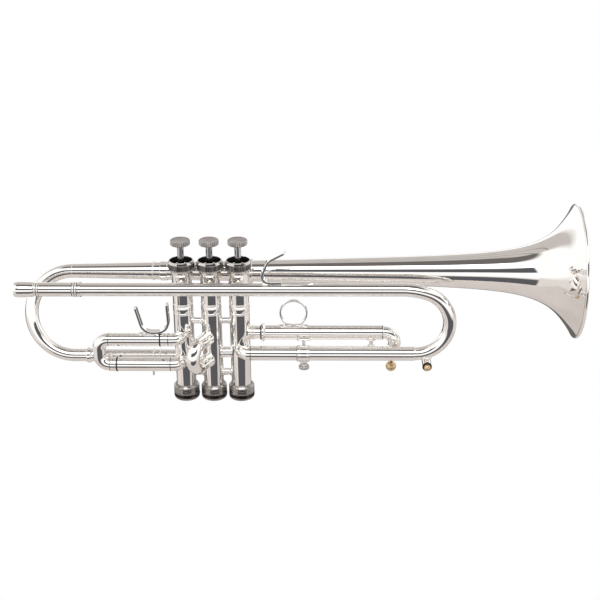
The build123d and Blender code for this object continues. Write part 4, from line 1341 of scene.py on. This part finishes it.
@dataclass
class FirstSlide(SubAssembly):
    """First valve slide with its thumb saddle."""

    y: float = -17.0
    top_z: float = -49.9
    low_z: float = -74.7
    top_r: float = 6.0
    low_r: float = 6.4
    corner: float = 9.0
    saddle: tuple[float, float, float] = (6.4, 2.3, 10.5)

    def fixed(self) -> None:
        """Two elbows out of the first casing, the upper with its inner tube."""
        top_end = span("first_sleeve")[1] + 1.3
        bend = elbow("first_top_elbow", -26.0, -1, self.y, self.top_z, top_end, self.top_r, 1.2, -38.6)
        inner = straight("first_top_inner", -88, top_end + 0.5, self.y, self.top_z, 5.2, 4.6)
        self.dress(joined("first_top_tube", bend, inner), SILVER, Body.HORN, "first_top_fixed")
        low_end = span("first_low_fixed")[0]
        bend = elbow("first_low_elbow", -26.0, -1, self.y, self.low_z, low_end, self.low_r, 0.8, -37.6)
        shape = outline((-80.6, 0), (-80.6, 1.5), (-81.3, 1.4), (-81.8, 0.9), (-85.4, 0.9), (-86.0, 0.5),
                        (-86.0, 0))
        pin = Lathe(mm(-54.0, self.y, 0), Z_AXIS, 32).turn("first_low_pin", shape, closed=False)
        self.dress(joined("first_low_tube", bend, pin), SILVER, Body.HORN, "first_low_fixed")
        self.lines("first_root_lines", Body.HORN, self.y, (-38.6, self.top_z, self.top_r),
                   (-37.6, self.low_z, self.low_r))

    def moving(self) -> None:
        """Sleeve, inner leg and bow."""
        piece = straight("first_sleeve_tube", *span("first_sleeve"), self.y, self.top_z, self.top_r, 5.25)
        self.dress(piece, SILVER, Body.FIRST_SLIDE, "first_sleeve")
        start, end = span("first_inner_leg")
        split = span("first_low_fixed")[0] - 1.3
        profile = outline((start, 4.9), (start, self.low_r), (split, self.low_r), (split, 5.55),
                          (end, 5.55), (end, 4.9))
        piece = Lathe(mm(0, self.y, self.low_z), X_AXIS).turn("first_inner_tube", profile)
        self.dress(piece, SILVER, Body.FIRST_SLIDE, "first_inner_leg")
        self.lines("first_bow_lines", Body.FIRST_SLIDE, self.y, (start + 0.3, self.top_z, self.top_r),
                   (start + 0.3, self.low_z, self.low_r))
        end_x = span("first_bow")[0] + self.top_r
        bender = Bender(mm(start, self.y, self.top_z), -X_AXIS, 2 * self.top_r * MM)
        piece = bender.begin("first_bow_tube")
        bender.follow([mm(start, self.y, self.top_z), mm(end_x, self.y, self.top_z),
                       mm(end_x, self.y, self.low_z), mm(start, self.y, self.low_z)], self.corner * MM, 28)
        bender.finish(piece, wall=1.0 * MM)
        self.dress(piece, SILVER, Body.FIRST_SLIDE, "first_bow")

    def bumpers(self) -> None:
        """Black rings that the slide closes against."""
        rings = []
        for start, z, radius in ((span("first_sleeve")[1], self.top_z, self.top_r),
                                 (span("first_low_fixed")[0] - 1.3, self.low_z, self.low_r)):
            rings.append(bumper(f"bumper{len(rings)}", start, 1.3, mm(0, self.y, z), radius + 0.5,
                                radius - 0.7))
        self.dress(joined("first_bumper_rings", *rings), RUBBER, Body.FIRST_SLIDE, "first_bumpers")

    def thumb_saddle(self) -> None:
        """Open U of flat strip on a curved foot."""
        width, thickness, radius = self.saddle
        path = [mm(-67.6, self.y, -17.2), mm(-61.2, self.y, -42.0), mm(-37.4, self.y, -42.0),
                mm(-38.6, self.y, -15.2)]
        first = (path[1] - path[0]).normalized()
        bender = Bender(path[0], first, width * MM * 0.56, thickness * MM * 0.56, Section.FLAT)
        strip = bender.begin("saddle_strip")
        for length, scale in ((0.3, 1 / 0.7), (0.5, 1 / 0.86), (0.7, 1 / 0.94)):
            bender.run(length * MM, scale)
        bender.follow([bender.here.copy(), *path[1:]], radius * MM, 18)
        bender.round_tip()
        bender.finish(strip, bevel=0.8 * MM, segments=4)
        foot = saddle_foot("saddle_foot", mm(-56.2, self.y, self.top_z), self.top_r * MM, 17.6 * MM,
                           6.4 * MM, 1.3 * MM)
        self.dress(joined("thumb_saddle_strip", strip, foot), SILVER, Body.FIRST_SLIDE, "thumb_saddle")

    def build(self) -> None:
        """Make every piece."""
        self.fixed()
        self.moving()
        self.bumpers()
        self.thumb_saddle()


def bumper(name: str, start: float, width: float, origin: Vector, outer: float, inner: float) -> Piece:
    """Rubber ring with a rounded outside.

    Args:
        name: Name of the ring.
        start: Where it starts along X; this and the other sizes are in thousandths of a metre.
        width: Its width.
        origin: A point on its axis, in metres.
        outer: Its outer radius.
        inner: Its inner radius.

    Returns:
        The ring.
    """
    gap, crown = 0.05, 0.3
    profile = outline((start + gap, inner), (start + gap, outer - crown))
    profile += bead((start + width / 2) * MM, (outer - crown) * MM, (width - 2 * gap) * MM,
                    crown * MM)[1:-1]
    profile += outline((start + width - gap, outer - crown), (start + width - gap, inner))
    return Lathe(origin, X_AXIS, 72).turn(name, profile, bevel=0)


@dataclass
class SecondSlide(SubAssembly):
    """Short second valve slide, which leans towards the first."""

    turn: float = -24.6
    top_z: float = -52.4
    low_z: float = -74.4
    radius: float = 6.2
    bore: float = 5.35
    split: float = 24.3
    arc_start: float = 25.0
    plug: float = 10.5

    def way(self) -> Vector:
        """Outward direction of the slide."""
        return Matrix.Rotation(math.radians(self.turn), 3, "Z") @ -Y_AXIS

    def build(self) -> None:
        """Two fixed legs, and the bow with its inner legs."""
        way, legs, inner = self.way(), [], []
        for z in (self.top_z, self.low_z):
            lathe = Lathe(mm(0, 0, z), way, 72)
            r = self.radius
            profile = outline((8.0, self.bore), (8.0, r + 0.5), (10.6, r + 0.5), (11.4, r), (16.5, r),
                              (16.8, r + 0.25), (17.8, r + 0.25), (18.1, r), (self.split, r),
                              (self.split, self.bore))
            legs.append(lathe.turn(f"second_leg{len(legs)}", profile))
            profile = outline((self.plug, 4.7), (self.plug, 5.3), (self.split + 0.1, 5.3),
                              (self.split + 0.1, r), (self.arc_start, r), (self.arc_start, 4.7))
            inner.append(lathe.turn(f"second_inner{len(inner)}", profile))
        self.dress(joined("second_leg_pair", *legs), SILVER, Body.HORN, "second_fixed_legs")
        bender = Bender(mm(0, 0, self.top_z) + way * self.arc_start * MM, way, 2 * self.radius * MM)
        bow = bender.begin("second_bow_arc")
        bender.bend((self.top_z - self.low_z) / 2 * MM, 180, way.cross(-Z_AXIS), 48)
        bender.finish(bow, wall=1.5 * MM)
        self.dress(joined("second_bow_tube", bow, *inner), SILVER, Body.SECOND_SLIDE, "second_bow")


@dataclass
class ThirdSlide(SubAssembly):
    """Third valve slide with its finger ring, brace, guide and ball key."""

    top_z: float = -49.7
    low_z: float = -70.1
    sleeve_r: float = 6.6
    sleeve_bore: float = 5.65
    low_r: float = 6.0
    bow_r: float = 5.7
    ring_at: tuple[float, float] = (75.8, -30.3)
    brace_x: float = 147.7
    guide_x: float = 85.0
    ball_at: tuple[float, float] = (166.4, -83.9)

    def lathe(self, z: float) -> Lathe:
        """A lathe along X at a height in thousandths of a metre."""
        return Lathe(mm(0, 0, z), X_AXIS)

    def fixed(self) -> None:
        """Stub out of the third casing with its inner tube, and the lower tube."""
        stub = span("third_bumper")[0]
        profile = outline((33.5, 4.9), (33.5, 7.0), (34.9, 7.0), (35.5, 6.1))
        for place in (37.1, 38.7):
            profile += bead(place * MM, 6.1 * MM, 1.1 * MM, 0.75 * MM)
        profile += outline((stub, 6.1), (stub, 5.6), (150, 5.6), (150, 4.9))
        self.dress(self.lathe(self.top_z).turn("third_top_tube", profile), SILVER, Body.HORN,
                   "third_top_fixed")
        end = span("third_low_fixed")[1]
        profile = outline((33.2, 5.2), (33.2, 6.6), (34.6, 6.6), (35.4, self.low_r), (end, self.low_r),
                          (end, 5.2))
        tube = self.lathe(self.low_z).turn("third_low_tube", profile)
        choose(tube, lambda place: place.x < 33.9 * MM and abs(place.y) < 4.9 * MM)
        bpy.ops.transform.translate(value=(1.3 * MM, 0, 0))
        bpy.ops.object.mode_set(mode="OBJECT")
        self.dress(tube, SILVER, Body.HORN, "third_low_fixed")

    def moving(self) -> None:
        """Sleeve with its flange, inner leg and bow."""
        (start, end), r = span("third_sleeve"), self.sleeve_r
        profile = outline((start, self.sleeve_bore), (start, 8.1), (start + 0.5, 8.45), (start + 1.5, 8.45),
                          (start + 2.4, 7.4), (start + 3.2, r), (end - 0.8, r), (end, 6.1),
                          (end, self.sleeve_bore))
        self.dress(self.lathe(self.top_z).turn("third_sleeve_tube", profile), SILVER, Body.THIRD_SLIDE,
                   "third_sleeve")
        self.lines("third_bow_line", Body.THIRD_SLIDE, 0, (end - 1.0, self.top_z, r))
        split = span("third_low_fixed")[1] + 0.8
        (start, end), r = span("third_inner_leg"), self.low_r
        profile = outline((start, 4.4), (start, 5.15), (split, 5.15), (split, r), (split + 2, r),
                          (split + 2.2, r + 0.2), (split + 3.4, r + 0.2), (split + 3.6, r), (end, r),
                          (end, 4.4))
        self.dress(self.lathe(self.low_z).turn("third_inner_tube", profile), SILVER, Body.THIRD_SLIDE,
                   "third_inner_leg")
        bender = Bender(mm(end, 0, self.top_z), X_AXIS.copy(), 2 * self.bow_r * MM)
        piece = bender.begin("third_bow_tube")
        bender.bend((self.top_z - self.low_z) / 2 * MM, 180, Y_AXIS, 48)
        bender.finish(piece, wall=1.2 * MM)
        self.dress(piece, SILVER, Body.THIRD_SLIDE, "third_bow")
        start = span("third_sleeve")[0] - 1.4
        ring = bumper("third_bumper_ring", start, 1.4, mm(0, 0, self.top_z), 7.0, 5.7)
        self.dress(ring, RUBBER, Body.THIRD_SLIDE, "third_bumper")

    def finger_ring(self) -> None:
        """Flat band ring on a curved foot."""
        x, z = self.ring_at
        lathe = Lathe(mm(x, 0, z), Y_AXIS, 96)
        profile = outline((-2.0, 11.9), (-1.8, 11.62), (-1.0, 11.5), (1.0, 11.5), (1.8, 11.62), (2.0, 11.9),
                          (2.0, 12.6), (1.7, 12.95), (-1.7, 12.95), (-2.0, 12.6))
        ring = lathe.turn("ring_band", profile, bevel=0.2 * MM)
        foot = saddle_foot("ring_foot", mm(x, 0, self.top_z), self.sleeve_r * MM, 26.5 * MM, 7.0 * MM,
                           1.1 * MM)
        self.dress(joined("finger_ring_band", ring, foot), SILVER, Body.THIRD_SLIDE, "finger_ring")

    def brace(self) -> None:
        """Waisted post between the moving tubes, and the fixed guide under the sleeve."""
        top, low = self.top_z - self.sleeve_r, self.low_z + self.low_r
        profile = outline((top + 0.9, 0), (top + 0.9, 4.5), (top - 0.4, 4.7), (top - 1.2, 3.0),
                          (top - 2.2, 1.8), (low + 2.2, 1.8), (low + 1.2, 3.0), (low + 0.4, 4.7),
                          (low - 0.9, 4.5), (low - 0.9, 0))
        post = Lathe(mm(self.brace_x, 0, 0), Z_AXIS, 64).turn("third_brace_post", profile, closed=False,
                                                              bevel=0.25 * MM)
        self.dress(post, SILVER, Body.THIRD_SLIDE, "third_brace")
        guide = saddle_foot("guide_saddle", mm(self.guide_x, 0, self.top_z),
                            (self.sleeve_r + 0.3) * MM, 11.6 * MM, 12.5 * MM, 1.1 * MM)
        open_up(guide)
        bpy.ops.transform.resize(value=(1, 1, -1), center_override=mm(self.guide_x, 0, self.top_z))
        bpy.ops.mesh.flip_normals()
        bpy.ops.object.mode_set(mode="OBJECT")
        top = self.top_z - self.sleeve_r - 0.7
        profile = outline((top, 0), (top, 2.2), (top - 1.2, 1.5), (low + 1.2, 1.5), (low + 0.3, 2.8),
                          (low - 0.7, 2.8), (low - 0.7, 0))
        post = Lathe(mm(self.guide_x, 0, 0), Z_AXIS, 48).turn("guide_post", profile, closed=False)
        self.dress(joined("third_guide_saddle", guide, post), SILVER, Body.HORN, "third_guide")

    def ball_key(self) -> None:
        """Nipple under the bow and the brass ball on its pin."""
        x, z = self.ball_at
        lathe = Lathe(mm(x, 0, 0), Z_AXIS, 64)
        nipple = outline((-72.6, 1.75), (-72.6, 3.4), (z + 7.2, 3.4), (z + 6.6, 3.0), (z + 6.5, 1.75))
        self.dress(lathe.turn("third_key_nipple", nipple), SILVER, Body.THIRD_SLIDE, "third_key_body")
        ball = arc((z * MM, 0), 4.9 * MM, 180, 21, 28)
        neck = outline((z + 4.6, 1.7), (z + 6.5, 1.7), (z + 6.5, 0))
        knob = lathe.turn("third_key_knob", ball + neck, closed=False, bevel=0)
        self.dress(knob, BRASS, Body.THIRD_KEY, "third_key_ball")

    def build(self) -> None:
        """Make every piece."""
        self.fixed()
        self.moving()
        self.finger_ring()
        self.brace()
        self.ball_key()


@dataclass
class Studio:
    """Camera, floor, light and the bright room that the metal mirrors."""

    target: Vector = field(default_factory=lambda: mm(81.9, 0, -17.4))
    distance: float = 1.1452
    elevation: float = 22.357
    yaw: float = 1.687
    roll: float = -0.568
    lens: float = 74.9
    floor_z: float = -0.45
    floor_size: tuple[float, float] = (1.55, 0.94)
    white: Colour = (1.12, 1.12, 1.12)
    pale: Colour = (0.80, 0.76, 0.735)
    beige: Colour = (0.55, 0.50, 0.475)
    grey: Colour = (0.60, 0.565, 0.545)
    line: Colour = (0.27, 0.25, 0.24)
    dusk: Colour = (0.165, 0.15, 0.145)
    slate: Colour = (0.105, 0.105, 0.115)
    shade: Colour = (0.15, 0.135, 0.125)
    front_wall: tuple[float, float, float] = (0.259, -0.966, 0)
    box_offset: tuple[float, float, float] = (0, -0.95, 1.15)
    box_size: tuple[float, float] = (1.3, 0.6)
    box_power: float = 6.0

    def camera(self) -> None:
        """Place the camera."""
        up_tilt, aside = math.radians(self.elevation), math.radians(self.yaw)
        back = Vector((math.sin(aside) * math.cos(up_tilt), -math.cos(aside) * math.cos(up_tilt),
                       math.sin(up_tilt)))
        bpy.ops.object.camera_add(location=self.target + back * self.distance)
        camera = bpy.context.object
        camera.name = "studio_camera"
        tilt = Matrix.Rotation(math.radians(self.roll), 3, "Z")
        camera.rotation_euler = ((-back).to_track_quat("-Z", "Y").to_matrix() @ tilt).to_euler()
        camera.data.lens = self.lens
        camera.data.sensor_width = 36.0
        camera.data.dof.use_dof = False
        camera.data.clip_start, camera.data.clip_end = 0.05, 20.0
        bpy.context.scene.camera = camera

    def floor(self) -> None:
        """Plain pale floor, seen pure white by the camera and hidden from below."""
        length, depth = self.floor_size
        clear_selection()
        bpy.ops.mesh.primitive_plane_add(size=1, location=(self.target.x, 0, self.floor_z))
        bpy.context.object.scale = (length, depth, 1)
        floor = named("studio_floor")
        made = bpy.data.materials.new("pale floor")
        made.use_nodes = True
        tree = made.node_tree
        tree.nodes.clear()
        pale = add_node(tree, "ShaderNodeBsdfDiffuse", Color=(0.76, 0.71, 0.685, 1))
        bright = add_node(tree, "ShaderNodeEmission", Color=(1, 1, 1, 1), Strength=1.0)
        clear = tree.nodes.new("ShaderNodeBsdfTransparent")
        path, side = tree.nodes.new("ShaderNodeLightPath"), tree.nodes.new("ShaderNodeNewGeometry")
        seen, under = tree.nodes.new("ShaderNodeMixShader"), tree.nodes.new("ShaderNodeMixShader")
        out = tree.nodes.new("ShaderNodeOutputMaterial")
        connect(tree, (path, "Is Camera Ray", seen, "Fac"), (pale, 0, seen, 1), (bright, 0, seen, 2),
                (side, "Backfacing", under, "Fac"), (seen, 0, under, 1), (clear, 0, under, 2),
                (under, 0, out, "Surface"))
        floor.data.materials.append(made)

    def ramp(self, tree: bpy.types.NodeTree, stops: list[tuple[float, Colour]]) -> bpy.types.Node:
        """Colour by height above the horizon.

        Args:
            tree: The world's tree.
            stops: Elevation in degrees and colour, from low to high.

        Returns:
            The ramp's node.
        """
        node = tree.nodes.new("ShaderNodeValToRGB")
        ramp = node.color_ramp
        while len(ramp.elements) < len(stops):
            ramp.elements.new(0.5)
        for element, (height, colour) in zip(ramp.elements, stops):
            element.position = height / 180 + 0.5
            element.color = (*colour, 1)
        return node

    def room(self) -> None:
        """Banded room: soft boxes and dark gaps in front, pale walls beside and behind."""
        world = bpy.data.worlds.new("studio room")
        bpy.context.scene.world = world
        world.use_nodes = True
        tree = world.node_tree
        tree.nodes.clear()
        white, pale, beige, grey = self.white, self.pale, self.beige, self.grey
        dusk, slate, shade, line = self.dusk, self.slate, self.shade, self.line
        front = self.ramp(tree, [(-90, beige), (-53, beige), (-47, slate), (-18, slate), (-14, pale),
                                 (-8, white), (10, white), (12.5, slate), (31, slate), (34, white),
                                 (57, white), (64, dusk), (90, dusk)])
        side = self.ramp(tree, [(-90, beige), (-50, beige), (-40, pale), (-12, pale), (-4, white),
                                (58, white), (66, dusk), (90, dusk)])
        back = self.ramp(tree, [(-90, beige), (-52, beige), (-44, shade), (-10, shade), (-6, white),
                                (13, white), (19, grey), (50, grey), (52, line), (54, grey), (66, grey),
                                (68, line), (70, grey), (78, grey), (85, dusk), (90, dusk)])
        coords, parts = tree.nodes.new("ShaderNodeTexCoord"), tree.nodes.new("ShaderNodeSeparateXYZ")
        angle = add_node(tree, "ShaderNodeMath", operation="ARCSINE")
        level = add_node(tree, "ShaderNodeMath", operation="MULTIPLY_ADD")
        level.inputs[1].default_value, level.inputs[2].default_value = 1 / math.pi, 0.5
        flat = add_node(tree, "ShaderNodeVectorMath", operation="MULTIPLY")
        flat.inputs[1].default_value = (1, 1, 0)
        unit = add_node(tree, "ShaderNodeVectorMath", operation="NORMALIZE")
        facing = add_node(tree, "ShaderNodeVectorMath", operation="DOT_PRODUCT")
        facing.inputs[1].default_value = self.front_wall
        in_front = add_node(tree, "ShaderNodeMapRange", interpolation_type="SMOOTHSTEP", From_Min=0.65,
                            From_Max=0.70)
        beside = add_node(tree, "ShaderNodeMapRange", interpolation_type="SMOOTHSTEP", From_Min=-0.72,
                          From_Max=-0.52)
        walls, all_round = (add_node(tree, "ShaderNodeMix", data_type="RGBA") for _ in range(2))
        path = tree.nodes.new("ShaderNodeLightPath")
        seen = add_node(tree, "ShaderNodeMix", data_type="RGBA")
        seen.inputs["B"].default_value = (1, 1, 1, 1)
        glow, out = tree.nodes.new("ShaderNodeBackground"), tree.nodes.new("ShaderNodeOutputWorld")
        connect(tree, (coords, "Generated", parts, 0), (parts, "Z", angle, 0), (angle, 0, level, 0))
        for node in (front, side, back):
            connect(tree, (level, 0, node, "Fac"))
        connect(tree, (coords, "Generated", flat, 0), (flat, 0, unit, 0), (unit, 0, facing, 0),
                (facing, "Value", in_front, "Value"), (facing, "Value", beside, "Value"),
                (beside, "Result", walls, "Factor"), (back, "Color", walls, "A"),
                (side, "Color", walls, "B"), (in_front, "Result", all_round, "Factor"),
                (walls, "Result", all_round, "A"), (front, "Color", all_round, "B"),
                (path, "Is Camera Ray", seen, "Factor"), (all_round, "Result", seen, "A"),
                (seen, "Result", glow, "Color"), (glow, 0, out, "Surface"))

    def softbox(self) -> None:
        """One large soft light over the camera."""
        bpy.ops.object.light_add(type="AREA", location=self.target + Vector(self.box_offset))
        light = bpy.context.object
        light.name = "studio_softbox"
        light.data.shape = "RECTANGLE"
        light.data.size, light.data.size_y = self.box_size
        light.data.energy = self.box_power
        light.rotation_euler = (self.target - light.location).to_track_quat("-Z", "Y").to_euler()

    def build(self) -> None:
        """Set the stage."""
        self.camera()
        self.floor()
        self.room()
        self.softbox()
        bpy.context.scene.view_settings.view_transform = "Standard"


def dress_row_nodes() -> int:
    """Give every CAD node that stays a finish of its own.

    Returns:
        How many nodes were dressed.
    """
    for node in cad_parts.values():
        for slot in node.material_slots:
            kind = slot.material.name.split(".")[0] if slot.material else Slot.SILVER.value
            slot.material = ROW_FINISHES.get(kind, SILVER).material()
    return len(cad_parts)


def main() -> None:
    """Build the trumpet and its studio."""
    logging.basicConfig(level=logging.INFO, format="%(message)s")
    LOG.info("%d frame nodes dressed", dress_row_nodes())
    for part in (Mouthpipe(), Bell(), Valves(), MainSlide(), FirstSlide(), SecondSlide(), ThirdSlide()):
        part.build()
        for piece in part.made:
            LOG.info("%s: %s, %d faces", type(part).__name__, piece.name, len(piece.data.polygons))
    Studio().build()


if __name__ == "__main__":
    main()
